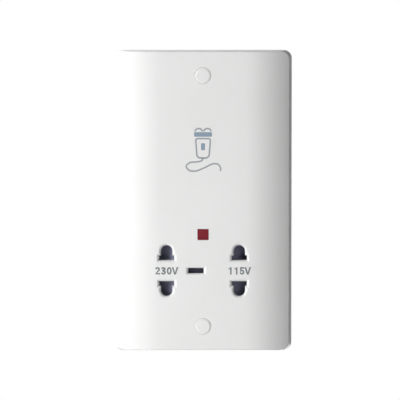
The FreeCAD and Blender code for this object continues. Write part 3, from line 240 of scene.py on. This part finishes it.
# Materials
def plastic(name, tone, rough, grain, patch_mm, **sockets):
    """A moulding: patches of two tones, a span of roughness, and a grain's size and depth in mm."""
    made, tree, shader = new_material(name)
    tones(tree, shader, noise(tree, patch_mm), *tone)
    wander(tree, shader, "Roughness", noise(tree, patch_mm / 3), *rough)
    relief(tree, shader, noise(tree, grain[0]), grain[1])
    for socket, value in sockets.items():
        shader.inputs[socket.replace("_", " ")].default_value = value
    return made


def moulded_white():
    tone = ((0.835, 0.835, 0.83), (0.85, 0.85, 0.846))
    return plastic("moulded_white", tone, (0.44, 0.52), (0.3, 0.0015), 30.0, Specular_IOR_Level=0.3)


def red_lens():
    tone = ((0.175, 0.008, 0.016), (0.205, 0.011, 0.021))
    gloss = {"Specular_IOR_Level": 0.15, "Coat_Weight": 0.1, "Coat_Roughness": 0.12}
    return plastic("red_lens", tone, (0.2, 0.3), (0.9, 0.02), 3.0, **gloss)


def dark_nylon():
    """Dark slate nylon with painted light and shade: the slider's front is painted darker, and its ramps,
    set back from the front, are painted paler, standing in for the light that reaches into the pin holes.
    """
    made, tree, shader = new_material("dark_nylon")
    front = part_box("interlock_shutter")[0].y
    coords = tree.nodes.new("ShaderNodeTexCoord")
    parts = tree.nodes.new("ShaderNodeSeparateXYZ")
    tree.links.new(coords.outputs["Object"], parts.inputs["Vector"])
    depth = tree.nodes.new("ShaderNodeMapRange")
    depth.inputs["From Min"].default_value = front + PAINTED_LIGHT_START
    depth.inputs["From Max"].default_value = front + PAINTED_LIGHT_END
    depth.inputs["To Max"].default_value = PAINTED_LIGHT_WEIGHT
    tree.links.new(parts.outputs["Y"], depth.inputs["Value"])
    patches = tree.nodes.new("ShaderNodeMath")
    patches.operation = "MULTIPLY_ADD"
    tree.links.new(noise(tree, 5.0), patches.inputs[0])
    patches.inputs[1].default_value = 1 - PAINTED_LIGHT_WEIGHT
    tree.links.new(depth.outputs["Result"], patches.inputs[2])
    # painted light and shade: the dark tone is the slider's front, the pale tone its deeper ramps
    tones(tree, shader, patches.outputs["Value"], (0.028, 0.029, 0.052), (0.26, 0.265, 0.37))
    wander(tree, shader, "Roughness", noise(tree, 1.7), 0.42, 0.55)
    relief(tree, shader, noise(tree, 0.25), 0.006)
    shader.inputs["Specular IOR Level"].default_value = 0.2
    return made


def dark_thermoset():
    tone = ((0.028, 0.028, 0.036), (0.04, 0.04, 0.05))
    return plastic("dark_thermoset", tone, (0.45, 0.6), (0.3, 0.008), 6.0)


def spark_textured():
    tone = ((0.36, 0.365, 0.37), (0.385, 0.39, 0.395))
    return plastic("spark_textured", tone, (0.5, 0.64), (0.35, 0.03), 25.0)


def natural_nylon():
    tone = ((0.68, 0.65, 0.56), (0.76, 0.73, 0.65))
    return plastic("natural_nylon", tone, (0.35, 0.5), (0.4, 0.006), 8.0)


def black_sleeve():
    tone = ((0.025, 0.025, 0.026), (0.04, 0.04, 0.042))
    return plastic("black_sleeve", tone, (0.3, 0.45), (0.5, 0.02), 4.0)


def resistor_lacquer():
    made, tree, shader = new_material("resistor_lacquer")
    tones(tree, shader, bands(tree, 1.6, "Z"), (0.42, 0.20, 0.10), (0.66, 0.50, 0.30))
    shader.inputs["Roughness"].default_value = 0.35
    relief(tree, shader, noise(tree, 0.4), 0.01)
    return made


def wire_cover(name, colour):
    worn = [c * WIRE_SHADE for c in colour]
    return plastic(name, (worn, colour), (0.32, 0.45), (0.35, 0.008), 4.0)


def metal(name, dark, light, rough, scratch=(1, 12, 1)):
    made, tree, shader = new_material(name)
    tones(tree, shader, noise(tree, METAL_PATCH_MM), dark, light)
    shader.inputs["Metallic"].default_value = 1.0
    scratches = noise(tree, SCRATCH_MM, scratch)
    wander(tree, shader, "Roughness", scratches, *rough)
    relief(tree, shader, scratches, SCRATCH_DEPTH_MM)
    return made


def contact_brass():
    return metal("contact_brass", (0.66, 0.46, 0.18), (0.80, 0.60, 0.28), (0.2, 0.34), (1, 1, 10))


def terminal_brass():
    return metal("terminal_brass", (0.60, 0.42, 0.17), (0.76, 0.56, 0.26), (0.24, 0.4), (10, 1, 1))


def switch_bronze():
    return metal("switch_bronze", (0.58, 0.34, 0.18), (0.72, 0.46, 0.27), (0.2, 0.34), (10, 1, 1))


def core_laminations():
    """Varnished steel sheets stacked along Y."""
    made, tree, shader = new_material("core_laminations")
    sheets = bands(tree, 1.0, "Y")
    tones(tree, shader, sheets, (0.10, 0.10, 0.11), (0.24, 0.24, 0.25))
    shader.inputs["Metallic"].default_value = 0.7
    wander(tree, shader, "Roughness", noise(tree, 4.0), 0.4, 0.6)
    relief(tree, shader, sheets, 0.08)
    return made


def enamelled_turns():
    """Copper wire turns lying round the core's tongue."""
    made, tree, shader = new_material("enamelled_turns")
    turns = bands(tree, 0.35, "Z", 0.4)
    tones(tree, shader, turns, (0.33, 0.11, 0.04), (0.72, 0.33, 0.15))
    shader.inputs["Metallic"].default_value = 0.85
    wander(tree, shader, "Roughness", noise(tree, 3.0), 0.22, 0.38)
    relief(tree, shader, turns, 0.12)
    return made


def lamp_glass():
    made, tree, shader = new_material("lamp_glass")
    tones(tree, shader, noise(tree, 3.0), (0.94, 0.90, 0.86), (0.98, 0.96, 0.94))
    shader.inputs["Transmission Weight"].default_value = 0.9
    shader.inputs["IOR"].default_value = 1.5
    wander(tree, shader, "Roughness", noise(tree, 2.0), 0.02, 0.08)
    return made


def ink(name, dark, light):
    made, tree, shader = new_material(name)
    tones(tree, shader, noise(tree, 0.5, detail=5.0), dark, light)
    wander(tree, shader, "Roughness", noise(tree, 1.5), 0.45, 0.6)
    shader.inputs["Specular IOR Level"].default_value = 0.35
    return made


def slot_materials():
    return {
        "faceplate_white": moulded_white(),
        "lens_red": red_lens(),
        "shutter_dark": dark_nylon(),
        "carrier_dark": dark_thermoset(),
        "housing_grey": spark_textured(),
        "zinc_steel": metal("zinc_steel", (0.56, 0.57, 0.58), (0.70, 0.70, 0.68), (0.38, 0.54)),
        "spring_steel": metal("spring_steel", (0.42, 0.42, 0.43), (0.55, 0.55, 0.55), (0.2, 0.32)),
        "contact_brass": contact_brass(),
        "terminal_brass": terminal_brass(),
        "switch_bronze": switch_bronze(),
        "core_steel": core_laminations(),
        "bobbin_nylon": natural_nylon(),
        "winding_copper": enamelled_turns(),
        "cutout_black": black_sleeve(),
        "lamp_glass": lamp_glass(),
        "resistor_tan": resistor_lacquer(),
        "lead_brown": wire_cover("lead_brown", (0.17, 0.07, 0.03)),
        "lead_blue": wire_cover("lead_blue", (0.03, 0.12, 0.42)),
        "lead_green": wire_cover("lead_green", (0.09, 0.36, 0.06)),
        "lead_red": wire_cover("lead_red", (0.46, 0.03, 0.03)),
        "lead_yellow": wire_cover("lead_yellow", (0.66, 0.50, 0.04)),
        "lead_black": wire_cover("lead_black", (0.025, 0.025, 0.025)),
        "lead_white": wire_cover("lead_white", (0.72, 0.72, 0.68)),
    }


def dress_nodes(materials):
    for part in RECORD["subparts"]:
        mesh = NODES[part["node"]].data
        mesh.materials.clear()
        mesh.materials.append(materials[part["material_slot"]])


# Mesh helpers
def linked(name, data):
    thing = bpy.data.objects.new(name, data)
    bpy.context.scene.collection.objects.link(thing)
    return thing


def add_piece(name, mesh, material):
    piece = linked(name, mesh)
    mesh.materials.clear()
    mesh.materials.append(material)
    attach(piece, "body")
    return piece


def closed_mesh(bm, name):
    """The finished mesh, with its faces turned outwards; bm itself goes."""
    bmesh.ops.recalc_face_normals(bm, faces=bm.faces)
    mesh = bpy.data.meshes.new(name)
    bm.to_mesh(mesh)
    bm.free()
    return mesh


def baked(thing):
    """The object's final mesh, on its own; the object itself goes."""
    bpy.context.view_layer.update()
    mesh = bpy.data.meshes.new_from_object(thing.evaluated_get(bpy.context.evaluated_depsgraph_get()))
    bpy.data.objects.remove(thing)
    return mesh


def word_mesh(word, cap_h, width, weight, thickness):
    """A word as a thin solid in the plane of its letters, centred, with the given cap height and width."""
    curve = bpy.data.curves.new("word", "FONT")
    curve.body = word
    curve.offset = weight
    curve.extrude = 0.5
    mesh = baked(linked("word", curve))
    low = Vector([min(v.co[i] for v in mesh.vertices) for i in range(3)])
    high = Vector([max(v.co[i] for v in mesh.vertices) for i in range(3)])
    size = high - low
    for v in mesh.vertices:
        share = v.co - (low + high) / 2
        v.co = (share.x * width / size.x, share.y * cap_h / size.y, share.z * thickness / size.z)
    return mesh


def surface(node):
    """The node's faces, for rays along Y."""
    mesh = NODES[node].data
    return BVHTree.FromPolygons([v.co for v in mesh.vertices], [p.vertices for p in mesh.polygons])


def front_y(faces, x, z):
    start = CAD_BOX[0][1] - RAY_CLEAR
    return faces.ray_cast(Vector((x, start, z)), Vector((0, 1, 0)))[0].y


def back_y(faces, x, z):
    start = CAD_BOX[1][1] + RAY_CLEAR
    return faces.ray_cast(Vector((x, start, z)), Vector((0, -1, 0)))[0].y


def print_on_face(mesh, plate, centre):
    """Lays a flat mesh, drawn in x and y with its thickness in z, on the plate's face at (x, z)."""
    for v in mesh.vertices:
        x = centre[0] + v.co.x
        z = centre[1] + v.co.y
        v.co = (x, front_y(plate, x, z) - INK_THICKNESS / 2 - v.co.z, z)
    mesh.update()
    return mesh


def arc(cx, cy, r, start_deg, end_deg, steps=16, tall=1.0):
    """Points round part of a circle, or of an oval that is tall times as high as wide."""
    angles = [math.radians(start_deg + (end_deg - start_deg) * i / steps) for i in range(steps + 1)]
    return [(cx + r * math.cos(a), cy + tall * r * math.sin(a)) for a in angles]


def stroke(bm, points, width, closed=False, round_ends=True):
    """Adds a flat line of the given width along the points, with mitred corners."""
    flat = [Vector((x, y, 0)) for x, y in points]
    count = len(flat)
    rails = []
    for i, here in enumerate(flat):
        before = flat[i - 1] if i or closed else here * 2 - flat[1]
        after = flat[(i + 1) % count] if i < count - 1 or closed else here * 2 - flat[i - 1]
        arriving = (here - before).normalized()
        along = (arriving + (after - here).normalized()).normalized()
        side = Vector((-along.y, along.x, 0)) * width / 2 / max(along.dot(arriving), MITRE_LIMIT)
        rails.append((bm.verts.new(here + side), bm.verts.new(here - side)))
    for i in range(count if closed else count - 1):
        a, b = rails[i], rails[(i + 1) % count]
        bm.faces.new((a[0], a[1], b[1], b[0]))
    if round_ends and not closed:
        for end, toward in ((flat[0], flat[0] - flat[1]), (flat[-1], flat[-1] - flat[-2])):
            turn = math.degrees(math.atan2(toward.y, toward.x))
            rim = arc(end.x, end.y, width / 2, turn - 90, turn + 90, 8)
            bm.faces.new([bm.verts.new((x, y, 0)) for x, y in rim])


def smooth(points, steps=8):
    """A flowing line through the points."""
    flat = [Vector(p) for p in points]
    ends = [flat[0] * 2 - flat[1]] + flat + [flat[-1] * 2 - flat[-2]]
    line = []
    for a, b, c, d in zip(ends, ends[1:], ends[2:], ends[3:]):
        for i in range(steps):
            t = i / steps
            square = 2 * a - 5 * b + 4 * c - d
            cube = 3 * b - a - 3 * c + d
            line.append((2 * b + (c - a) * t + square * t ** 2 + cube * t ** 3) / 2)
    return [(p.x, p.y) for p in line + flat[-1:]]


def blot(bm, points):
    """Adds a filled flat outline."""
    bm.faces.new([bm.verts.new((x, y, 0)) for x, y in points])


def rounded_box(cx, cy, half_w, half_h, r):
    outline = []
    for sx, sy, turn in ((1, 1, 0), (-1, 1, 90), (-1, -1, 180), (1, -1, 270)):
        outline += arc(cx + sx * (half_w - r), cy + sy * (half_h - r), r, turn, turn + 90, 6)
    return outline


def flat_mesh(name, draw):
    """A thin solid of what draw puts in a flat mesh."""
    bm = bmesh.new()
    draw(bm)
    bmesh.ops.remove_doubles(bm, verts=bm.verts, dist=INK_MERGE)
    bmesh.ops.recalc_face_normals(bm, faces=bm.faces)
    grown = bmesh.ops.extrude_face_region(bm, geom=bm.faces[:])
    lifted = [g for g in grown["geom"] if isinstance(g, bmesh.types.BMVert)]
    bmesh.ops.translate(bm, verts=lifted, vec=(0, 0, INK_THICKNESS / 2))
    return closed_mesh(bm, name)


# Print on the face
def bowl(shape, steps, inset=0.0):
    """The round part of a figure, which reaches the figure's nearer end."""
    middle, start, end = shape
    half = FIGURE_LINE / 2
    wide = FIGURE_W / 2 - half - inset
    tall = (min(middle, 1 - middle) - half) / wide
    return arc((FIGURE_W - inset) / 2, middle, wide, start, end, steps, tall)


def figure_strokes(sign):
    """Lines of a bold figure, in units of its height."""
    half = FIGURE_LINE / 2
    if sign == "0":
        return [bowl((0.5, 0, 360), 32)[:-1]]
    if sign == "2":
        return [bowl(TWO_BOWL, 16) + [(half + TWO_FOOT, half), (FIGURE_W, half)]]
    if sign == "3":
        upper = bowl(THREE_UPPER, 18, THREE_INSET)
        lower = bowl(THREE_LOWER, 18)
        bar_x = FIGURE_W / 2 - THREE_BAR
        return [upper + [(bar_x, upper[-1][1])], [(bar_x, lower[0][1])] + lower]
    return [[(FIGURE_W - FIVE_TOP[1], 1 - half), (FIVE_TOP[0], 1 - half)] + bowl(FIVE_BOWL, 18)]


def figure_outline(sign):
    """Outline of a bold figure that is not drawn with lines."""
    if sign == "1":
        return [(ONE_STEM[0], 0), (ONE_STEM[1], 0), (ONE_STEM[1], 1), *ONE_FLAG]
    foot = V_LIMB / 2
    mid = V_W / 2
    right = [(mid - foot, 0), (mid + foot, 0), (V_W, 1), (V_W - V_LIMB, 1)]
    return right + [(mid, V_CROTCH), (V_LIMB, 1), (0, 1)]


def voltage(word):
    """Draws a voltage, centred."""
    left = -((len(word) - 1) * FIGURE_STEP + V_W - (FIGURE_STEP - FIGURE_W)) / 2

    def place(x, y, start):
        return ((start + x) * FIGURE_H, (y - 0.5) * FIGURE_H)

    def draw(bm):
        start = left
        for i, sign in enumerate(word):
            if sign in "1V":
                blot(bm, [place(x, y, start) for x, y in figure_outline(sign)])
            else:
                for line in figure_strokes(sign):
                    points = [place(x, y, start) for x, y in line]
                    stroke(bm, points, FIGURE_LINE * FIGURE_H, closed=sign == "0", round_ends=False)
            start += FIGURE_STEP if i < len(word) - 2 else FIGURE_W
    return draw


def metres(points):
    return [(x * MM, y * MM) for x, y in points]


def emblem_lines(bm):
    """Outline of an electric shaver with two foils, and its lead."""
    x, y, r = SHAVER_SHOULDER
    body = arc(-x, y, r, 180, 90, 6) + arc(x, y, r, 90, 0, 6)
    x, y, r = SHAVER_FOOT
    body += arc(x, y, r, -SHAVER_TAPER_DEG, -90, 8) + arc(-x, y, r, 270, 180 + SHAVER_TAPER_DEG, 8)
    stroke(bm, metres(body), LINE_W, closed=True)
    x, y, r = SHAVER_FOIL
    for side in (-1, 1):
        stroke(bm, metres(arc(side * x, y, r, 180, 0, 12, FOIL_TALL)), LINE_W, round_ends=False)
    stroke(bm, metres(smooth(SHAVER_LEAD)), LINE_W)


def emblem_fills(bm):
    """The shaver's head bar and switch."""
    for y, half_w, half_h in SHAVER_FILLS:
        blot(bm, metres(rounded_box(0, y, half_w, half_h, FILL_CORNER_R)))


def add_print():
    grey = ink("grey_ink", (0.185, 0.202, 0.216), (0.225, 0.242, 0.256))
    line_ink = ink("line_ink", (0.305, 0.325, 0.35), (0.355, 0.375, 0.40))
    fill_ink = ink("fill_ink", (0.24, 0.31, 0.39), (0.28, 0.36, 0.45))
    outlets = {"230": [], "115": []}
    for opening in RECORD["physics"]["openings"]:
        volts = opening["name"].split("_")[1]
        outlets[volts].append((Vector(opening["box_m"][0]) + Vector(opening["box_m"][1])) / 2)
    prints = [
        ("emblem_lines", emblem_lines, EMBLEM_CENTRE, line_ink),
        ("emblem_fills", emblem_fills, EMBLEM_CENTRE, fill_ink),
    ]
    for volts, centres in outlets.items():
        middle = sum(centres, Vector()) / len(centres)
        prints.append(("print_" + volts, voltage(volts + "V"), (middle.x, middle.z), grey))
    plate = surface("front_plate")
    for name, draw, centre, material in prints:
        add_piece(name, print_on_face(flat_mesh(name, draw), plate, centre), material)


# Terminal letters on the housing
def add_terminal_letters(material):
    housing = surface("rear_housing")
    for mount in RECORD["mounts"]:
        words = mount["name"].split("_")
        if words[0] != "terminal":
            continue
        x = mount["pos_m"][0]
        z = mount["pos_m"][2] - LETTER_DROP
        y = back_y(housing, x, z) + LETTER_RELIEF / 2
        mesh = word_mesh(words[1][0].upper(), LETTER_CAP_H, LETTER_W, LETTER_WEIGHT, LETTER_RELIEF)
        for v in mesh.vertices:
            v.co = (x - v.co.x, y + v.co.z, z + v.co.y)
        add_piece("letter_" + words[1], mesh, material)


# Fixing screws with a real thread
def spun(bm, profile, centre_z):
    """A solid of revolution about the screw's axis along Y, from (radius, y) points."""
    rings = []
    for r, y in profile:
        ring = []
        for i in range(TURN_STEPS):
            a = 2 * math.pi * i / TURN_STEPS
            ring.append(bm.verts.new((r * math.cos(a), y, centre_z + r * math.sin(a))))
        rings.append(ring)
    for a, b in zip(rings, rings[1:]):
        for i in range(TURN_STEPS):
            j = (i + 1) % TURN_STEPS
            bm.faces.new((a[i], a[j], b[j], b[i]))
    bm.faces.new(rings[0][::-1])
    bm.faces.new(rings[-1])


def screw_head(head_r, y0, centre_z):
    """The head with its rounded edge and driver slot, and the neck."""
    bm = bmesh.new()
    profile = []
    for i in range(HEAD_EDGE_STEPS + 1):
        a = math.pi / 2 * i / HEAD_EDGE_STEPS
        profile.append((head_r - HEAD_EDGE * (1 - math.sin(a)), y0 + HEAD_EDGE * (1 - math.cos(a))))
    profile += [(head_r, y0 + HEAD_H), (NECK_R, y0 + HEAD_H), (NECK_R, y0 + HEAD_H + NECK_END)]
    spun(bm, profile, centre_z)
    head = linked("head", closed_mesh(bm, "head"))
    bm = bmesh.new()
    bmesh.ops.create_cube(bm, size=1.0)
    bmesh.ops.scale(bm, vec=(3 * head_r, 2 * SLOT_DEPTH, SLOT_W), verts=bm.verts)
    bmesh.ops.translate(bm, vec=(0, y0, centre_z), verts=bm.verts)
    slot = linked("slot", closed_mesh(bm, "slot"))
    cutter = head.modifiers.new("slot", "BOOLEAN")
    cutter.object = slot
    cutter.operation = "DIFFERENCE"
    mesh = baked(head)
    bpy.data.objects.remove(slot)
    return mesh


def thread(bm, r, y0, y1, centre_z):
    """A helical ridge from y0 to y1 that sinks into its core at both ends, and a chamfered tip."""
    core = r - THREAD_DEPTH
    tip = y1 - TIP_CHAMFER
    root = core - THREAD_SUNK
    steps = int(((tip - y0) / THREAD_PITCH - 1) * TURN_STEPS)
    rows = []
    for i in range(steps + 1):
        a = 2 * math.pi * i / TURN_STEPS
        fade = min(1.0, (2 * i + 1) / TURN_STEPS, (2 * (steps - i) + 1) / TURN_STEPS)
        row = []
        for along, up in THREAD_PROFILE:
            radius = root + (r - root) * up * fade
            y = y0 + THREAD_PITCH * (i / TURN_STEPS + along)
            row.append(bm.verts.new((radius * math.cos(a), y, centre_z + radius * math.sin(a))))
        rows.append(row)
    for a, b in zip(rows, rows[1:]):
        for k in range(len(THREAD_PROFILE)):
            bm.faces.new((a[k - 1], a[k], b[k], b[k - 1]))
    bm.faces.new(rows[0][::-1])
    bm.faces.new(rows[-1])
    spun(bm, [(core, y0), (core, tip), (core - TIP_CHAMFER / 2, y1)], centre_z)


def fixing_screw(node, material, thread_r):
    low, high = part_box(node)
    centre_z = (low.z + high.z) / 2
    head_r = (high.z - low.z) / 2
    bm = bmesh.new()
    bm.from_mesh(screw_head(head_r, low.y, centre_z))
    thread(bm, thread_r, low.y + HEAD_H + NECK_END, high.y, centre_z)
    piece = add_piece("threaded_" + node, closed_mesh(bm, node), material)
    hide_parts(node)


def add_fixing_screws(material):
    mount = next(m for m in RECORD["mounts"] if m["name"] == "fixing_screws")
    thread_r = mount["dims"]["stud_r_mm"] * MM
    for node in ("fixing_screw_upper", "fixing_screw_lower"):
        fixing_screw(node, material, thread_r)


# Springs that the slider presses together, and the switch leaf that it lifts
def bent_nodes(mode):
    """Each joint with each node that it bends in this way."""
    for joint in RECORD["behaviour"]["joints"]:
        for bent in joint["deforming_nodes"]:
            if bent["mode"] == mode:
                yield joint, bent


def helix_mesh(low, high):
    """A coil of round wire along X that fills the box."""
    middle = (low + high) / 2
    coil_r = (high.z - low.z) / 2 - SPRING_WIRE_R
    length = high.x - low.x - 2 * SPRING_WIRE_R
    steps = SPRING_COILS * TURN_STEPS
    curve = bpy.data.curves.new("helix", "CURVE")
    curve.dimensions = "3D"
    curve.bevel_depth = SPRING_WIRE_R
    curve.use_fill_caps = True
    line = curve.splines.new("POLY")
    line.points.add(steps)
    for i, point in enumerate(line.points):
        a = 2 * math.pi * i / TURN_STEPS
        x = low.x + SPRING_WIRE_R + length * i / steps
        point.co = (x, middle.y + coil_r * math.cos(a), middle.z + coil_r * math.sin(a), 1)
    return baked(linked("helix", curve))


def add_springs(material):
    for joint, bent in bent_nodes("scale_x"):
        node = bent["node"]
        low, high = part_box(node)
        piece = add_piece("coiled_" + node, helix_mesh(low, high), material)
        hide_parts(node)
        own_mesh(piece)


def add_leaf(material):
    """The switch leaf, copied whole and unbent onto the body from its CAD node; on the real part the slider
    lifts its nose at either end of the travel, and its soldered tag stays.
    """
    for joint, bent in bent_nodes("bend_z"):
        node = bent["node"]
        mesh = NODES[node].data.copy()
        mesh.transform(NODES[node].matrix_world)
        piece = add_piece("lifted_" + node, mesh, material)
        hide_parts(node)
        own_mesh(piece)


# Stage, light and camera
def background_rays(tree):
    """1 for rays that see the background, straight or in gloss and glass, and 0 for its light."""
    path = tree.nodes.new("ShaderNodeLightPath")
    seen = path.outputs["Is Camera Ray"]
    for kind in ("Is Glossy Ray", "Is Transmission Ray"):
        either = tree.nodes.new("ShaderNodeMath")
        either.operation = "MAXIMUM"
        tree.links.new(seen, either.inputs[0])
        tree.links.new(path.outputs[kind], either.inputs[1])
        seen = either.outputs["Value"]
    return seen


def add_stage():
    """A pale floor that fades into the white background away from the object."""
    made, tree, shader = new_material("floor_paper")
    tones(tree, shader, noise(tree, 60.0), (0.60, 0.60, 0.60), (0.63, 0.63, 0.63))
    shader.inputs["Roughness"].default_value = FLOOR_ROUGHNESS
    white = tree.nodes.new("ShaderNodeEmission")
    coords = tree.nodes.new("ShaderNodeTexCoord")
    reach = tree.nodes.new("ShaderNodeVectorMath")
    reach.operation = "LENGTH"
    fade = tree.nodes.new("ShaderNodeMapRange")
    fade.interpolation_type = "SMOOTHSTEP"
    fade.inputs["From Min"].default_value = FADE_START
    fade.inputs["From Max"].default_value = FADE_END
    seen = tree.nodes.new("ShaderNodeMath")
    seen.operation = "MULTIPLY"
    mix = tree.nodes.new("ShaderNodeMixShader")
    tree.links.new(coords.outputs["Object"], reach.inputs[0])
    tree.links.new(reach.outputs["Value"], fade.inputs["Value"])
    tree.links.new(fade.outputs["Result"], seen.inputs[0])
    tree.links.new(background_rays(tree), seen.inputs[1])
    tree.links.new(seen.outputs["Value"], mix.inputs["Fac"])
    tree.links.new(shader.outputs["BSDF"], mix.inputs[1])
    tree.links.new(white.outputs["Emission"], mix.inputs[2])
    tree.links.new(mix.outputs["Shader"], tree.nodes["Material Output"].inputs["Surface"])
    mesh = bpy.data.meshes.new("floor")
    corners = [(-1, -1), (1, -1), (1, 1), (-1, 1)]
    mesh.from_pydata([(x * FLOOR_HALF, y * FLOOR_HALF, 0) for x, y in corners], [], [(0, 1, 2, 3)])
    mesh.materials.append(made)
    floor = linked("floor", mesh)
    floor.location.z = FLOOR_Z


def add_world():
    """White where it is seen, and a low even light elsewhere."""
    world = bpy.data.worlds.new("studio")
    bpy.context.scene.world = world
    world.use_nodes = True
    tree = world.node_tree
    background = tree.nodes["Background"]
    background.inputs["Color"].default_value = (1, 1, 1, 1)
    level = tree.nodes.new("ShaderNodeMapRange")
    level.inputs["To Min"].default_value = AMBIENT
    level.inputs["To Max"].default_value = 1.0
    tree.links.new(background_rays(tree), level.inputs["Value"])
    tree.links.new(level.outputs["Result"], background.inputs["Strength"])


def aim(thing, target):
    thing.rotation_euler = (Vector(target) - thing.location).to_track_quat("-Z", "Y").to_euler()


def add_lamps():
    for name, (place, width, height, power) in LAMPS.items():
        data = bpy.data.lights.new(name, "AREA")
        data.shape = "RECTANGLE"
        data.size = width
        data.size_y = height
        data.energy = power
        lamp = linked(name, data)
        lamp.location = place
        lamp.visible_camera = False
        aim(lamp, (0, 0, 0))


def add_camera():
    face_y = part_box("neon_lens")[0].y
    data = bpy.data.cameras.new("camera")
    data.sensor_width = SENSOR_MM
    data.lens = FACE_PX_PER_MM / MM * CAMERA_DISTANCE * SENSOR_MM / IMAGE_PX
    data.shift_x = (IMAGE_PX / 2 - FACE_CENTRE_PX[0]) / IMAGE_PX
    data.shift_y = (FACE_CENTRE_PX[1] - IMAGE_PX / 2) / IMAGE_PX
    camera = linked("camera", data)
    away = Vector((0, -math.cos(CAMERA_ELEVATION), math.sin(CAMERA_ELEVATION)))
    camera.location = Vector((0, face_y, 0)) + away * CAMERA_DISTANCE
    aim(camera, (0, face_y, 0))
    bpy.context.scene.camera = camera


slot_looks = slot_materials()
dress_nodes(slot_looks)
add_print()
add_terminal_letters(slot_looks["housing_grey"])
add_fixing_screws(slot_looks["zinc_steel"])
add_springs(slot_looks["spring_steel"])
add_leaf(slot_looks["switch_bronze"])
add_stage()
add_world()
add_lamps()
add_camera()
bpy.context.scene.view_settings.view_transform = "Standard"
